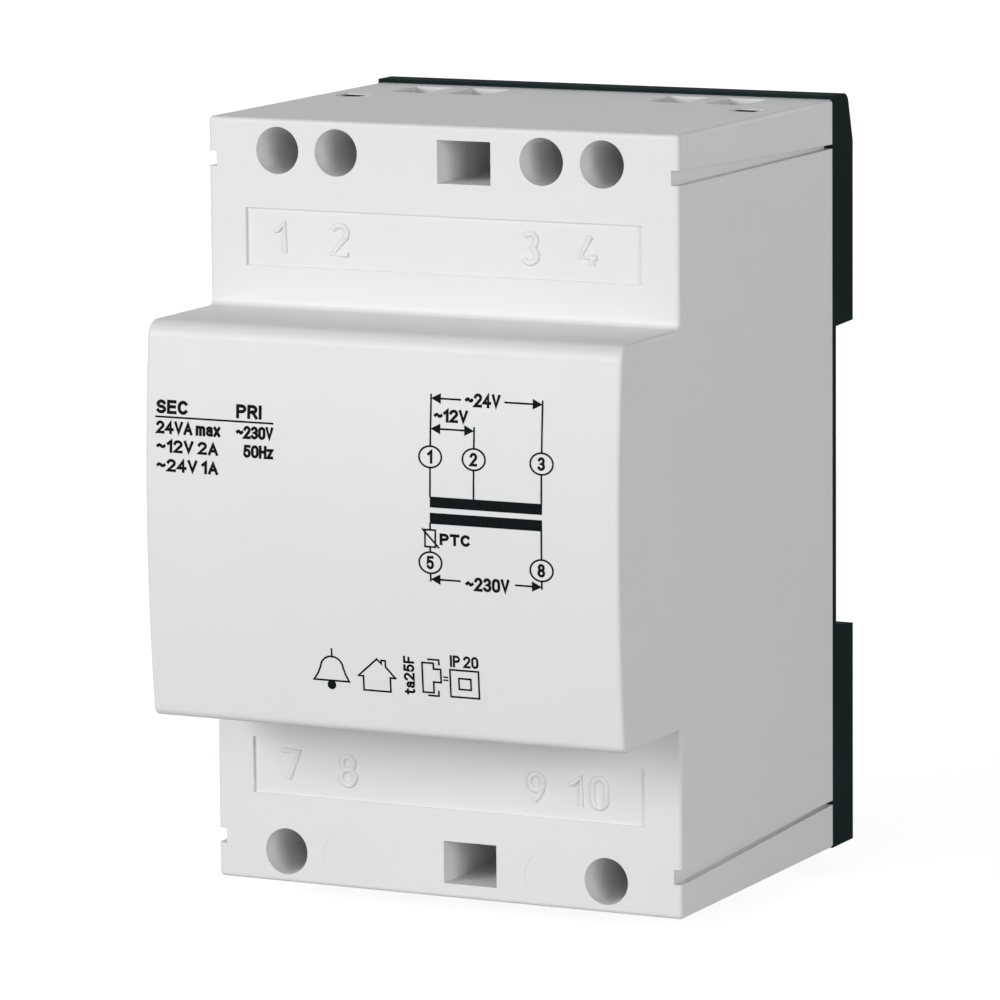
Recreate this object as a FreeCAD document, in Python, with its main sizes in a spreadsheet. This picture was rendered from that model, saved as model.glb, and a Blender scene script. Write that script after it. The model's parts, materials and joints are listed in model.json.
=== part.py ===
import FreeCAD, Part

import math
import os

import Sketcher

# Bell transformer for a 35 mm mounting rail.
# Millimetres, +X right, +Z up, the front faces -Y.
# The origin is the centre of the rail recess, on the plane where the rail bears.
# A depth is a distance in front of that plane, so depth = -Y.

SIZES = {
    # White case
    "case_width": 60.0,
    "case_height": 90.0,
    "wall": 2.0,
    "shoulder_depth": 44.6,
    "front_depth": 59.9,
    "front_curve": 218.0,
    "raised_height": 46.0,
    "top_corner": 2.0,
    "bottom_corner": 1.0,
    "side_corner": 0.5,
    "root_corner": 0.8,
    # Screwdriver holes and the tubes behind them
    "hole_radius": 2.75,
    "hole_edge": 0.95,
    "tube_wall": 0.9,
    "terminal_pitch": 7.6,
    "left_group": 12.8,
    "right_group": 13.4,
    "blank_mark": 0.06,
    # Rectangular windows
    "window_shift": 0.327,
    "window_width": 6.8,
    "window_height": 5.0,
    "window_edge": 1.7,
    "window_depth": 20.0,
    "well_wall": 1.0,
    # Marking fields
    "field_side": 4.7,
    "field_height": 6.7,
    "field_share": 0.527,
    "field_depth": 0.35,
    # Side grooves
    "groove_inset": 5.8,
    "groove_front": 1.75,
    "groove_rear": 0.5,
    "groove_depth": 1.05,
    # Wire entries
    "entry_wall": 1.0,
    "entry_play": 0.2,
    "funnel_width": 5.0,
    "funnel_length": 7.1,
    # Black base
    "rim_thickness": 1.1,
    "rim_proud": 0.45,
    "floor_depth": 2.6,
    "base_wall": 1.8,
    "block_depth": 5.1,
    "taper_height": 5.8,
    "taper_depth": 1.6,
    "block_corner": 1.5,
    "fit_gap": 0.15,
    # Rail and the hooks that hold it
    "rail_width": 35.0,
    "rail_play": 0.9,
    "rail_gap": 1.3,
    "upper_flare": 0.2,
    "lower_flare": 0.6,
    "hook_reach": 1.8,
    "hook_width": 10.0,
    "hook_bevel": 1.0,
    # Rail latch and its spring
    "latch_width": 14.0,
    "latch_flange": 2.5,
    "flange_thickness": 1.1,
    "latch_rear": 4.8,
    "latch_inset": 0.4,
    "latch_travel": 3.5,
    "latch_bevel": 1.8,
    "slide_gap": 0.3,
    "channel_floor": 0.2,
    "pull_slot": 1.6,
    "pull_slot_width": 6.0,
    "spring_radius": 1.35,
    "spring_wire": 0.25,
    "spring_turns": 6.0,
    "spring_spare": 3.7,
    "boss_height": 1.5,
    "boss_end": 6.8,
    # Snap arms
    "snap_side": 2.3,
    "snap_width": 3.0,
    "snap_thickness": 1.4,
    "snap_depth": 14.8,
    "snap_nose": 3.0,
    "snap_height": 2.0,
    # Core, clamp and the posts that carry it
    "core_side_gap": 0.4,
    "core_front_gap": 0.1,
    "core_seat": 16.5,
    "clamp_thickness": 0.6,
    "clamp_inset": 2.25,
    "clamp_tab": 6.0,
    "post_width": 4.0,
    "post_inset": 0.8,
    "post_height": 10.0,
    "cheek": 1.5,
    "cheek_reach": 3.5,
    # Bobbin and coil
    "bobbin_gap": 0.15,
    "bobbin_wall": 1.0,
    "bobbin_end": 0.2,
    "flange_margin": 0.3,
    "flange_over": 0.65,
    "coil_gap": 0.8,
    "winding_corner": 4.0,
    "tape": 0.3,
    # Terminals
    "cage_width": 5.8,
    "cage_wall": 0.7,
    "cage_height": 4.8,
    "cage_floor": 1.1,
    "cage_travel": 4.0,
    "cage_gap": 0.4,
    "wire_space": 5.0,
    "bar_thickness": 1.1,
    "bar_play": 0.25,
    "bar_end": 0.3,
    "bar_shoulder": 2.0,
    "tag_width": 2.0,
    "tag_length": 2.5,
    "nut_gap": 1.3,
    "nut_thickness": 1.8,
    "screw_radius": 1.5,
    "thread_gap": 0.05,
    "head_radius": 2.5,
    "head_height": 2.4,
    "head_gap": 3.0,
    "head_round": 0.3,
    "drive_length": 3.6,
    "drive_width": 0.9,
    "drive_depth": 1.3,
    "tube_gap": 0.5,
    # Terminal carriers and their screws
    "carrier_side": 3.0,
    "carrier_depth": 9.3,
    "carrier_front": 16.0,
    "slot_play": 0.1,
    "small_screw_radius": 1.2,
    "small_head_radius": 2.2,
    "small_head_height": 1.4,
    "small_screw_bite": 4.4,
    "small_screw_offset": 4.4,
    "pilot_gap": 0.01,
    # Overheating protection and leads
    "ptc_radius": 4.0,
    "ptc_thickness": 2.4,
    "lead_radius": 0.45,
    "leg_radius": 0.3,
}

SHEET = "Sizes"
FINE = 0.001
# The share of a hole's edge that its tube may fill, and of a run that a bend may take
TUBE_SHARE = 0.95
BEND_SHARE = 0.45
# Where each lead leaves the coil, as a share of half the core's window
LEAD_STARTS = {"1": -0.75, "2": -0.4, "3": 0.5, "10": 0.6}


class Size:
    """A length that knows its number and the expression that gives it."""

    def __init__(self, value, text):
        self.value = value
        self.text = text

    def __add__(self, other):
        other = as_size(other)
        return Size(self.value + other.value, f"({self.text} + {other.text})")

    def __sub__(self, other):
        other = as_size(other)
        return Size(self.value - other.value, f"({self.text} - {other.text})")

    def __mul__(self, other):
        other = as_size(other)
        return Size(self.value * other.value, f"({self.text} * {other.text})")

    def __truediv__(self, other):
        other = as_size(other)
        return Size(self.value / other.value, f"({self.text} / {other.text})")

    def __neg__(self):
        return Size(-self.value, f"(0 - {self.text})")


def as_size(value):
    """A plain number as a Size, and a Size as it is."""
    return value if isinstance(value, Size) else Size(float(value), repr(float(value)))


def smaller(first, second):
    """The smaller of two sizes."""
    return Size(min(first.value, second.value), f"min({first.text}; {second.text})")


def size(name):
    """One driving dimension."""
    return Size(SIZES[name], f"{SHEET}.{name}")


def make_sheet(doc):
    """Write every driving dimension to the sheet, one alias a row."""
    sheet = doc.addObject("Spreadsheet::Sheet", SHEET)
    for row, (name, value) in enumerate(SIZES.items(), start=1):
        sheet.set(f"A{row}", name)
        sheet.set(f"B{row}", str(value))
        sheet.setAlias(f"B{row}", name)
    doc.recompute()


# Places that several sub-parts share

HALF_WIDTH = size("case_width") / 2
HALF_HEIGHT = size("case_height") / 2
BASE_TOP = HALF_HEIGHT + size("rim_proud")
INNER_WIDTH = HALF_WIDTH - size("wall")
INNER_HEIGHT = HALF_HEIGHT - size("wall")
HALF_RAISED = size("raised_height") / 2
HALF_RECESS = (size("rail_width") + size("rail_play")) / 2

TERMINAL_Z = HALF_HEIGHT - size("hole_radius") - size("hole_edge")
WINDOW_Z = HALF_HEIGHT - size("window_edge") - size("window_height") / 2
FIELD_Z = HALF_RAISED + (TERMINAL_Z - size("hole_radius") - HALF_RAISED) * size("field_share")
GROOVE_Z = HALF_HEIGHT - size("groove_inset")
BOSS_Z = HALF_HEIGHT - size("boss_end")
CARRIER_INNER = TERMINAL_Z - size("carrier_depth")
TUBE_RADIUS = size("hole_radius") + smaller(size("tube_wall"), size("hole_edge") * TUBE_SHARE)

# Across the case: the middles of the two groups of terminals, then each numbered place
LEFT_GROUP = HALF_WIDTH - size("left_group")
RIGHT_GROUP = HALF_WIDTH - size("right_group")
TERMINALS = {
    "1": -(LEFT_GROUP + size("terminal_pitch") / 2),
    "2": -(LEFT_GROUP - size("terminal_pitch") / 2),
    "3": RIGHT_GROUP - size("terminal_pitch") / 2,
    "4": RIGHT_GROUP + size("terminal_pitch") / 2,
    "7": -(LEFT_GROUP + size("terminal_pitch") / 2),
    "8": -(LEFT_GROUP - size("terminal_pitch") / 2),
    "9": RIGHT_GROUP - size("terminal_pitch") / 2,
    "10": RIGHT_GROUP + size("terminal_pitch") / 2,
}
WELL_WIDTH = size("window_width") + size("well_wall") * 2
WINDOW_ROOM = TERMINALS["3"] - TERMINALS["2"] - TUBE_RADIUS * 2 - WELL_WIDTH
WINDOW_X = (TERMINALS["2"] + TERMINALS["3"]) / 2 + WINDOW_ROOM * size("window_shift")
SNAP_X = INNER_WIDTH - size("snap_side")

CAGE_REAR = size("floor_depth") + size("cage_gap")
WIRE_REAR = CAGE_REAR + size("cage_floor")
BAR_REAR = WIRE_REAR + size("wire_space")
BAR_FRONT = BAR_REAR + size("bar_thickness")
NUT_REAR = BAR_FRONT + size("nut_gap")
NUT_FRONT = NUT_REAR + size("nut_thickness")
HEAD_REAR = NUT_FRONT + size("cage_travel") + size("head_gap")
HEAD_FRONT = HEAD_REAR + size("head_height")
TUBE_END = HEAD_FRONT + size("tube_gap")
CHEEK_FRONT = HEAD_REAR - size("head_gap") / 2
CAGE_INNER = size("cage_width") / 2 - size("cage_wall")
CHAMBER_HALF = size("cage_width") / 2 + size("slide_gap")
CHAMBER_TOP = HALF_HEIGHT - size("entry_wall")
SNAP_TOP = INNER_HEIGHT - size("fit_gap")

# The core's unit is half its middle leg. It comes from the case's width, or from the height
# between the solder tags where that is less.
TAG_END = CARRIER_INNER - size("bar_shoulder") - size("tag_length")
WIDTH_ROOM = INNER_WIDTH - size("clamp_thickness") - size("core_side_gap")
HEIGHT_ROOM = TAG_END - size("cheek") - size("fit_gap") - size("coil_gap")
CORE_UNIT = smaller(WIDTH_ROOM / 3, HEIGHT_ROOM / 2.5)
HALF_CORE = CORE_UNIT * 3
HALF_WINDOW = CORE_UNIT * 1.5
HALF_CORE_HEIGHT = HALF_WINDOW + CORE_UNIT
TUBE_X = CORE_UNIT + size("bobbin_gap") + size("bobbin_wall")
BOBBIN_TOP = HALF_WINDOW - size("bobbin_end")

# The winding fills the core's window. The stack fills the depth behind the shoulder, or leaves
# room for the coil behind the raised front where that is less.
WINDING_RISE = CORE_UNIT * 2 - TUBE_X - size("tape") - size("coil_gap")
COIL_OVER = TUBE_X - CORE_UNIT + WINDING_RISE + size("flange_over") + size("coil_gap")
SHOULDER_ROOM = size("shoulder_depth") - size("wall") - size("core_front_gap") - size("core_seat")
FRONT_ROOM = size("front_depth") - size("wall") - size("core_seat") - COIL_OVER
CORE_STACK = smaller(SHOULDER_ROOM, FRONT_ROOM)
CORE_MIDDLE = size("core_seat") + CORE_STACK / 2
TUBE_Y = CORE_STACK / 2 + size("bobbin_gap") + size("bobbin_wall")
COIL_REAR = CORE_MIDDLE - TUBE_Y - WINDING_RISE - size("tape")
PTC_Z = -(BOBBIN_TOP / 2)

CHANNEL_SIDE = size("latch_width") / 2 + size("latch_flange") + size("slide_gap")
UPPER = ("1", "2", "3", "4")
LOWER = ("7", "10")
BLANK = ("8", "9")


def terminal_z(name):
    """Height of a numbered place."""
    return TERMINAL_Z if name in UPPER else -TERMINAL_Z


# Document helpers


def new_body(doc, label):
    """A body whose label names its file."""
    body = doc.addObject("PartDesign::Body", label)
    body.Label = label
    doc.recompute()
    return body


def new_sketch(body, plane, offset):
    """A sketch parallel to one of the body's own origin planes."""
    support = next(f for f in body.Origin.OriginFeatures if f.Role == plane)
    sketch = body.newObject("Sketcher::SketchObject", "Sketch")
    sketch.AttachmentSupport = [(support, "")]
    sketch.MapMode = "FlatFace"
    sketch.setExpression("AttachmentOffset.Base.z", as_size(offset).text)
    return sketch


def pin_point(sketch, geometry, point, x, y):
    """Tie a point of the sketch to its place by two dimensions."""
    for kind, value, axis in (("DistanceX", as_size(x), -2), ("DistanceY", as_size(y), -1)):
        if abs(value.value) < FINE:
            sketch.addConstraint(Sketcher.Constraint("PointOnObject", geometry, point, axis))
            continue
        constraint = Sketcher.Constraint(kind, -1, 1, geometry, point, value.value)
        index = sketch.addConstraint(constraint)
        sketch.setExpression(f"Constraints[{index}]", value.text)


def add_loop(sketch, points):
    """A closed outline of straight lines through the points."""
    first = sketch.GeometryCount
    count = len(points)
    places = [FreeCAD.Vector(as_size(x).value, as_size(y).value, 0) for x, y in points]
    for index in range(count):
        line = Part.LineSegment(places[index], places[(index + 1) % count])
        sketch.addGeometry(line)
    for index in range(count):
        following = first + (index + 1) % count
        sketch.addConstraint(Sketcher.Constraint("Coincident", first + index, 2, following, 1))
    for index, (x, y) in enumerate(points):
        pin_point(sketch, first + index, 1, x, y)


def add_box(sketch, x_low, x_high, y_low, y_high):
    """A rectangle between four sizes."""
    add_loop(sketch, [(x_low, y_low), (x_high, y_low), (x_high, y_high), (x_low, y_high)])


def add_rounded_box(sketch, half_x, middle, half_y, corner):
    """A rectangle with round corners, centred across the sketch and at a middle height."""
    low, high = middle - half_y, middle + half_y
    lines = [
        ((corner - half_x, low), (half_x - corner, low)),
        ((half_x, low + corner), (half_x, high - corner)),
        ((half_x - corner, high), (corner - half_x, high)),
        ((-half_x, high - corner), (-half_x, low + corner)),
    ]
    centres = [
        (half_x - corner, low + corner),
        (half_x - corner, high - corner),
        (corner - half_x, high - corner),
        (corner - half_x, low + corner),
    ]
    first = sketch.GeometryCount
    for start, end in lines:
        places = [FreeCAD.Vector(x.value, y.value, 0) for x, y in (start, end)]
        index = sketch.addGeometry(Part.LineSegment(*places))
        pin_point(sketch, index, 1, *start)
        pin_point(sketch, index, 2, *end)
    for turn, (x, y) in enumerate(centres):
        centre = FreeCAD.Vector(x.value, y.value, 0)
        circle = Part.Circle(centre, FreeCAD.Vector(0, 0, 1), corner.value)
        start = (turn - 1) * math.pi / 2
        arc = sketch.addGeometry(Part.ArcOfCircle(circle, start, start + math.pi / 2))
        following = first + (turn + 1) % 4
        sketch.addConstraint(Sketcher.Constraint("Coincident", arc, 1, first + turn, 2))
        sketch.addConstraint(Sketcher.Constraint("Coincident", arc, 2, following, 1))
        radius = sketch.addConstraint(Sketcher.Constraint("Radius", arc, corner.value))
        sketch.setExpression(f"Constraints[{radius}]", corner.text)


def add_circle(sketch, x, y, radius):
    """A circle with its centre and radius tied to sizes."""
    centre = FreeCAD.Vector(as_size(x).value, as_size(y).value, 0)
    circle = Part.Circle(centre, FreeCAD.Vector(0, 0, 1), radius.value)
    index = sketch.addGeometry(circle)
    pin_point(sketch, index, 3, x, y)
    constraint = sketch.addConstraint(Sketcher.Constraint("Radius", index, radius.value))
    sketch.setExpression(f"Constraints[{constraint}]", radius.text)


def finish_feature(body, feature, grows):
    """Recompute, and stop if a feature failed or changed nothing."""
    before = feature.BaseFeature.Shape.Volume if feature.BaseFeature else 0.0
    body.Document.recompute()
    gained = feature.Shape.Volume - before
    if (gained <= 0) if grows else (gained >= 0):
        raise RuntimeError(f"{body.Label}: {feature.Name} changed nothing")
    return feature


def pad(body, sketch, length, backwards=False, both_ways=False):
    """Material from a sketch."""
    feature = body.newObject("PartDesign::Pad", "Pad")
    feature.Profile = sketch
    feature.setExpression("Length", length.text)
    feature.Reversed = backwards
    if both_ways:
        feature.SideType = "Symmetric"
    return finish_feature(body, feature, grows=True)


def pocket(body, sketch, length=None, backwards=False, both_ways=False):
    """A cut from a sketch, right through where no length is given."""
    feature = body.newObject("PartDesign::Pocket", "Pocket")
    feature.Profile = sketch
    feature.Reversed = backwards
    if length is None:
        feature.Type = "ThroughAll"
    else:
        feature.setExpression("Length", length.text)
    if both_ways:
        feature.SideType = "Symmetric"
    return finish_feature(body, feature, grows=False)


def cut_between(body, first, last):
    """A cut that blends from one sketch's outlines to another's."""
    feature = body.newObject("PartDesign::SubtractiveLoft", "BlendedCut")
    feature.Profile = first
    feature.Sections = [last]
    return finish_feature(body, feature, grows=False)


def round_edges(body, radius, chosen):
    """Fillet the edges of the body that pass the test."""
    tip = body.Tip
    edges = tip.Shape.Edges
    names = [f"Edge{index}" for index, edge in enumerate(edges, start=1) if chosen(edge)]
    if not names:
        raise RuntimeError(f"{body.Label}: no edge to round")
    fillet = body.newObject("PartDesign::Fillet", "Fillet")
    fillet.Base = (tip, names)
    fillet.setExpression("Radius", radius.text)
    body.Document.recompute()
    if "Invalid" in fillet.State or fillet.Shape.isNull():
        raise RuntimeError(f"{body.Label}: {fillet.Name} failed on {names}")
    return fillet


def runs_along(edge, axis, **places):
    """Is this a straight edge along an axis, at the given places on the others?"""
    box = edge.BoundBox
    spans = {"x": (box.XMin, box.XMax), "y": (box.YMin, box.YMax), "z": (box.ZMin, box.ZMax)}
    low, high = spans.pop(axis)
    if high - low < FINE:
        return False
    flat = all(top - bottom < FINE for bottom, top in spans.values())
    return flat and all(abs(spans[name][0] - place) < FINE for name, place in places.items())


def place_terminal_piece(body, name):
    """Move a piece drawn on the terminal's axis to its numbered place."""
    turn = 0 if name in UPPER else 180
    rotation = FreeCAD.Rotation(FreeCAD.Vector(0, 1, 0), turn)
    x, z = TERMINALS[name], terminal_z(name)
    body.Placement = FreeCAD.Placement(FreeCAD.Vector(x.value, 0, z.value), rotation)
    body.setExpression("Placement.Base.x", x.text)
    body.setExpression("Placement.Base.z", z.text)


# White case


def add_curved_front(body):
    """The raised middle, whose front bows forward a little."""
    sketch = new_sketch(body, "YZ_Plane", 0)
    root = -(size("shoulder_depth") - size("wall") / 2)
    front = -size("front_depth")
    half = HALF_RAISED
    radius = size("front_curve")
    middle = front.value + math.sqrt(radius.value**2 - half.value**2)
    spread = math.asin(half.value / radius.value)
    corners = [(front, half), (root, half), (root, -half), (front, -half)]
    places = [FreeCAD.Vector(x.value, y.value, 0) for x, y in corners]
    for index in range(3):
        sketch.addGeometry(Part.LineSegment(places[index], places[index + 1]))
        pin_point(sketch, index, 1, *corners[index])
    pin_point(sketch, 2, 2, *corners[3])
    circle = Part.Circle(FreeCAD.Vector(middle, 0, 0), FreeCAD.Vector(0, 0, 1), radius.value)
    sketch.addGeometry(Part.ArcOfCircle(circle, math.pi - spread, math.pi + spread))
    joints = ((0, 2, 1, 1), (1, 2, 2, 1), (3, 1, 0, 1), (3, 2, 2, 2))
    for joint in joints:
        sketch.addConstraint(Sketcher.Constraint("Coincident", *joint))
    constraint = sketch.addConstraint(Sketcher.Constraint("Radius", 3, radius.value))
    sketch.setExpression(f"Constraints[{constraint}]", radius.text)
    pad(body, sketch, size("case_width"), both_ways=True)


def round_case(body):
    """Moulded corners: the raised front's top and bottom, its roots, then every side edge."""
    front = -SIZES["front_depth"]
    shoulder = -SIZES["shoulder_depth"]
    half = HALF_RAISED.value
    side = HALF_WIDTH.value
    round_edges(body, size("top_corner"), lambda e: runs_along(e, "x", y=front, z=half))
    round_edges(body, size("bottom_corner"), lambda e: runs_along(e, "x", y=front, z=-half))
    for end in (half, -half):
        round_edges(
            body, size("root_corner"), lambda e, z=end: runs_along(e, "x", y=shoulder, z=z)
        )
    for end in (HALF_HEIGHT.value, -HALF_HEIGHT.value):
        round_edges(
            body, size("side_corner"), lambda e, z=end: runs_along(e, "x", y=shoulder, z=z)
        )

    def on_side_outline(edge):
        box = edge.BoundBox
        on_side = box.XMax - box.XMin < FINE and abs(abs(box.XMin) - side) < FINE
        return on_side and box.YMax < shoulder + SIZES["side_corner"] + FINE

    round_edges(body, size("side_corner"), on_side_outline)


def add_tubes_and_wells(body):
    """Tubes behind the screwdriver holes and closed wells behind the windows."""
    inside = size("shoulder_depth") - size("wall")
    for names in (("1", "3", "7", "10"), ("2", "4")):
        sketch = new_sketch(body, "XZ_Plane", inside)
        for name in names:
            add_circle(sketch, TERMINALS[name], terminal_z(name), TUBE_RADIUS)
        pad(body, sketch, inside - TUBE_END, backwards=True)
    half_width = WELL_WIDTH / 2
    half_height = size("window_height") / 2 + smaller(size("well_wall"), size("window_edge") / 2)
    sketch = new_sketch(body, "XZ_Plane", inside)
    for z in (WINDOW_Z, -WINDOW_Z):
        low, high = z - half_height, z + half_height
        add_box(sketch, WINDOW_X - half_width, WINDOW_X + half_width, low, high)
    pad(body, sketch, size("window_depth") + size("well_wall") - size("wall"), backwards=True)


def cut_front_openings(body):
    """Screwdriver holes, windows, blank marks and marking fields."""
    face = size("shoulder_depth")
    for names, depth in ((UPPER + LOWER, face - TUBE_END), (BLANK, size("blank_mark"))):
        sketch = new_sketch(body, "XZ_Plane", face)
        for name in names:
            add_circle(sketch, TERMINALS[name], terminal_z(name), size("hole_radius"))
        pocket(body, sketch, depth)
    windows = new_sketch(body, "XZ_Plane", face)
    fields = new_sketch(body, "XZ_Plane", face)
    half, rise = size("window_width") / 2, size("window_height") / 2
    for z in (WINDOW_Z, -WINDOW_Z):
        add_box(windows, WINDOW_X - half, WINDOW_X + half, z - rise, z + rise)
    half, rise = HALF_WIDTH - size("field_side"), size("field_height") / 2
    for z in (FIELD_Z, -FIELD_Z):
        add_box(fields, -half, half, z - rise, z + rise)
    pocket(body, windows, size("window_depth"))
    pocket(body, fields, size("field_depth"))


def cut_side_grooves(body):
    """Grooves along both sides, which narrow from the shoulder to the back."""
    floor = HALF_WIDTH - size("groove_depth")
    outside = HALF_WIDTH + size("wall")
    ends = (
        (size("shoulder_depth"), size("groove_front")),
        (size("rim_thickness"), size("groove_rear")),
    )
    profiles = []
    for depth, width in ends:
        sketch = new_sketch(body, "XZ_Plane", depth)
        for side in (1, -1):
            for end in (1, -1):
                low, high = GROOVE_Z * end, (GROOVE_Z + width) * end
                add_box(sketch, floor * side, outside * side, low, high)
        profiles.append(sketch)
    cut_between(body, *profiles)


def cut_wire_entries(body):
    """Thin the end walls over the terminals and open a way, sloped in front, to each wire space."""
    groups = (("1", "2", 1), ("3", "4", 1), ("7", "7", -1), ("10", "10", -1))
    chambers = new_sketch(body, "XZ_Plane", TUBE_END)
    for first, last, end in groups:
        low = TERMINALS[first] - CHAMBER_HALF
        high = TERMINALS[last] + CHAMBER_HALF
        add_box(chambers, low, high, (INNER_HEIGHT - size("wall")) * end, CHAMBER_TOP * end)
    pocket(body, chambers)
    play = size("entry_play")
    rear = -(WIRE_REAR - play)
    mouth = (size("funnel_width") / 2, size("funnel_length"), HALF_HEIGHT)
    throat = (CAGE_INNER + play, size("wire_space") + play * 2, CHAMBER_TOP)
    for names, end in ((UPPER, 1), (LOWER, -1)):
        profiles = []
        for half, length, z in (mouth, throat):
            sketch = new_sketch(body, "XY_Plane", z * end)
            for x in (TERMINALS[name] for name in names):
                add_box(sketch, x - half, x + half, rear - length, rear)
            profiles.append(sketch)
        cut_between(body, *profiles)


def cut_snap_windows(body):
    """Windows in the end walls where the snap noses show."""
    sketch = new_sketch(body, "XY_Plane", 0)
    gap = size("fit_gap")
    rear = -(size("snap_depth") - gap)
    front = -(size("snap_depth") + size("snap_nose") + gap)
    half = size("snap_width") / 2 + gap
    for side in (1, -1):
        x = SNAP_X * side
        add_box(sketch, x - half, x + half, front, rear)
    pocket(body, sketch, HALF_HEIGHT * 4, both_ways=True)


def make_housing(doc):
    """The white case: one moulding, open at the back."""
    body = new_body(doc, "housing")
    rim = size("rim_thickness")
    sketch = new_sketch(body, "XZ_Plane", rim)
    add_box(sketch, -HALF_WIDTH, HALF_WIDTH, -HALF_HEIGHT, HALF_HEIGHT)
    pad(body, sketch, size("shoulder_depth") - rim)
    add_curved_front(body)
    round_case(body)

    sketch = new_sketch(body, "XZ_Plane", size("shoulder_depth") - size("wall"))
    add_box(sketch, -INNER_WIDTH, INNER_WIDTH, -INNER_HEIGHT, INNER_HEIGHT)
    pocket(body, sketch)
    sketch = new_sketch(body, "XZ_Plane", size("front_depth") - size("wall"))
    inner_raised = HALF_RAISED - size("wall")
    add_box(sketch, -INNER_WIDTH, INNER_WIDTH, -inner_raised, inner_raised)
    pocket(body, sketch)

    add_tubes_and_wells(body)
    cut_front_openings(body)
    cut_side_grooves(body)
    cut_wire_entries(body)
    cut_snap_windows(body)
    return body


# Black base


def add_rear_blocks(body):
    """The blocks above and below the rail recess, which opens a little towards the rear."""
    sketch = new_sketch(body, "YZ_Plane", 0)
    rear = size("block_depth")
    lean_start = BASE_TOP - size("taper_height")
    corners = [
        (0, HALF_RECESS),
        (rear, HALF_RECESS + size("upper_flare")),
        (rear, lean_start),
        (rear - size("taper_depth"), BASE_TOP),
        (0, BASE_TOP),
    ]
    add_loop(sketch, corners)
    corners = [
        (0, -HALF_RECESS),
        (rear, -(HALF_RECESS + size("lower_flare"))),
        (rear, -HALF_HEIGHT),
        (0, -HALF_HEIGHT),
    ]
    add_loop(sketch, corners)
    pad(body, sketch, size("case_width"), both_ways=True)
    leaned = (rear - size("taper_depth")).value
    top = BASE_TOP.value
    round_edges(body, size("block_corner"), lambda e: runs_along(e, "x", y=leaned, z=top))


def hollow_rear_blocks(body):
    """Pockets from the inside, so that the blocks keep an even wall."""
    sketch = new_sketch(body, "XZ_Plane", size("floor_depth"))
    low = HALF_RECESS + size("base_wall")
    high = CARRIER_INNER - size("base_wall") / 2
    side = INNER_WIDTH - size("fit_gap") - size("base_wall")
    channel = CHANNEL_SIDE + size("base_wall")
    add_box(sketch, -side, side, low, high)
    add_box(sketch, channel, side, -high, -low)
    add_box(sketch, -side, -channel, -high, -low)
    pocket(body, sketch, size("floor_depth") + size("block_depth") - size("base_wall"))


def add_hooks(body):
    """Two fixed lips that reach behind the rail's upper edge."""
    rear = size("block_depth")
    front = size("rail_gap")
    tip = HALF_RECESS - size("hook_reach")
    root = HALF_RECESS + size("base_wall") / 2
    for side in (1, -1):
        sketch = new_sketch(body, "YZ_Plane", HALF_WIDTH / 2 * side)
        corners = [
            (front, root),
            (front, tip),
            (rear - size("hook_bevel"), tip),
            (rear, tip + size("hook_bevel")),
            (rear, root),
        ]
        add_loop(sketch, corners)
        pad(body, sketch, size("hook_width"), both_ways=True)


def cut_latch_channel(body):
    """A T-shaped channel in the lower block, with a boss for the spring."""
    gap = size("slide_gap")
    floor = -size("channel_floor")
    wide = CHANNEL_SIDE
    narrow = size("latch_width") / 2 + gap
    past = HALF_HEIGHT + size("wall")
    sketch = new_sketch(body, "XZ_Plane", floor)
    add_box(sketch, -wide, wide, -past, -HALF_RECESS)
    pocket(body, sketch, size("flange_thickness") + gap * 2)
    sketch = new_sketch(body, "XZ_Plane", floor)
    add_box(sketch, -narrow, narrow, -past, -HALF_RECESS)
    pocket(body, sketch)
    sketch = new_sketch(body, "XZ_Plane", floor)
    half = size("spring_radius") + size("spring_wire")
    add_box(sketch, -half, half, -BOSS_Z, size("boss_height") - BOSS_Z)
    pad(body, sketch, size("latch_rear") - size("channel_floor") - gap, backwards=True)


def add_core_posts(body):
    """Four posts that carry the core, with cheeks over its ends."""
    out = HALF_CORE - size("post_inset")
    seat = size("core_seat")
    edge = HALF_CORE_HEIGHT + size("fit_gap")
    sketch = new_sketch(body, "XZ_Plane", size("floor_depth"))
    cheeks = new_sketch(body, "XZ_Plane", size("floor_depth"))
    for side in (1, -1):
        inner, outer = (out - size("post_width")) * side, out * side
        for end in (1, -1):
            low = (edge + size("cheek") - size("post_height")) * end
            top = (edge + size("cheek")) * end
            add_box(sketch, inner, outer, low, top)
            add_box(cheeks, inner, outer, edge * end, top)
    pad(body, sketch, seat - size("floor_depth"))
    pad(body, cheeks, seat + size("cheek_reach") - size("floor_depth"))


def add_snap_arms(body):
    """Four arms with noses that catch in the case's end walls."""
    depth = size("snap_depth")
    nose = size("snap_nose")
    floor = size("floor_depth")
    low = SNAP_TOP - size("snap_thickness")
    for side in (1, -1):
        for end in (1, -1):
            sketch = new_sketch(body, "YZ_Plane", SNAP_X * side)
            corners = [
                (-floor, low * end),
                (-floor, SNAP_TOP * end),
                (-depth, SNAP_TOP * end),
                (-depth, (SNAP_TOP + size("snap_height")) * end),
                (-(depth + nose / 2), (SNAP_TOP + size("snap_height")) * end),
                (-(depth + nose), SNAP_TOP * end),
                (-(depth + nose), low * end),
            ]
            add_loop(sketch, corners)
            pad(body, sketch, size("snap_width"), both_ways=True)


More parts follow.
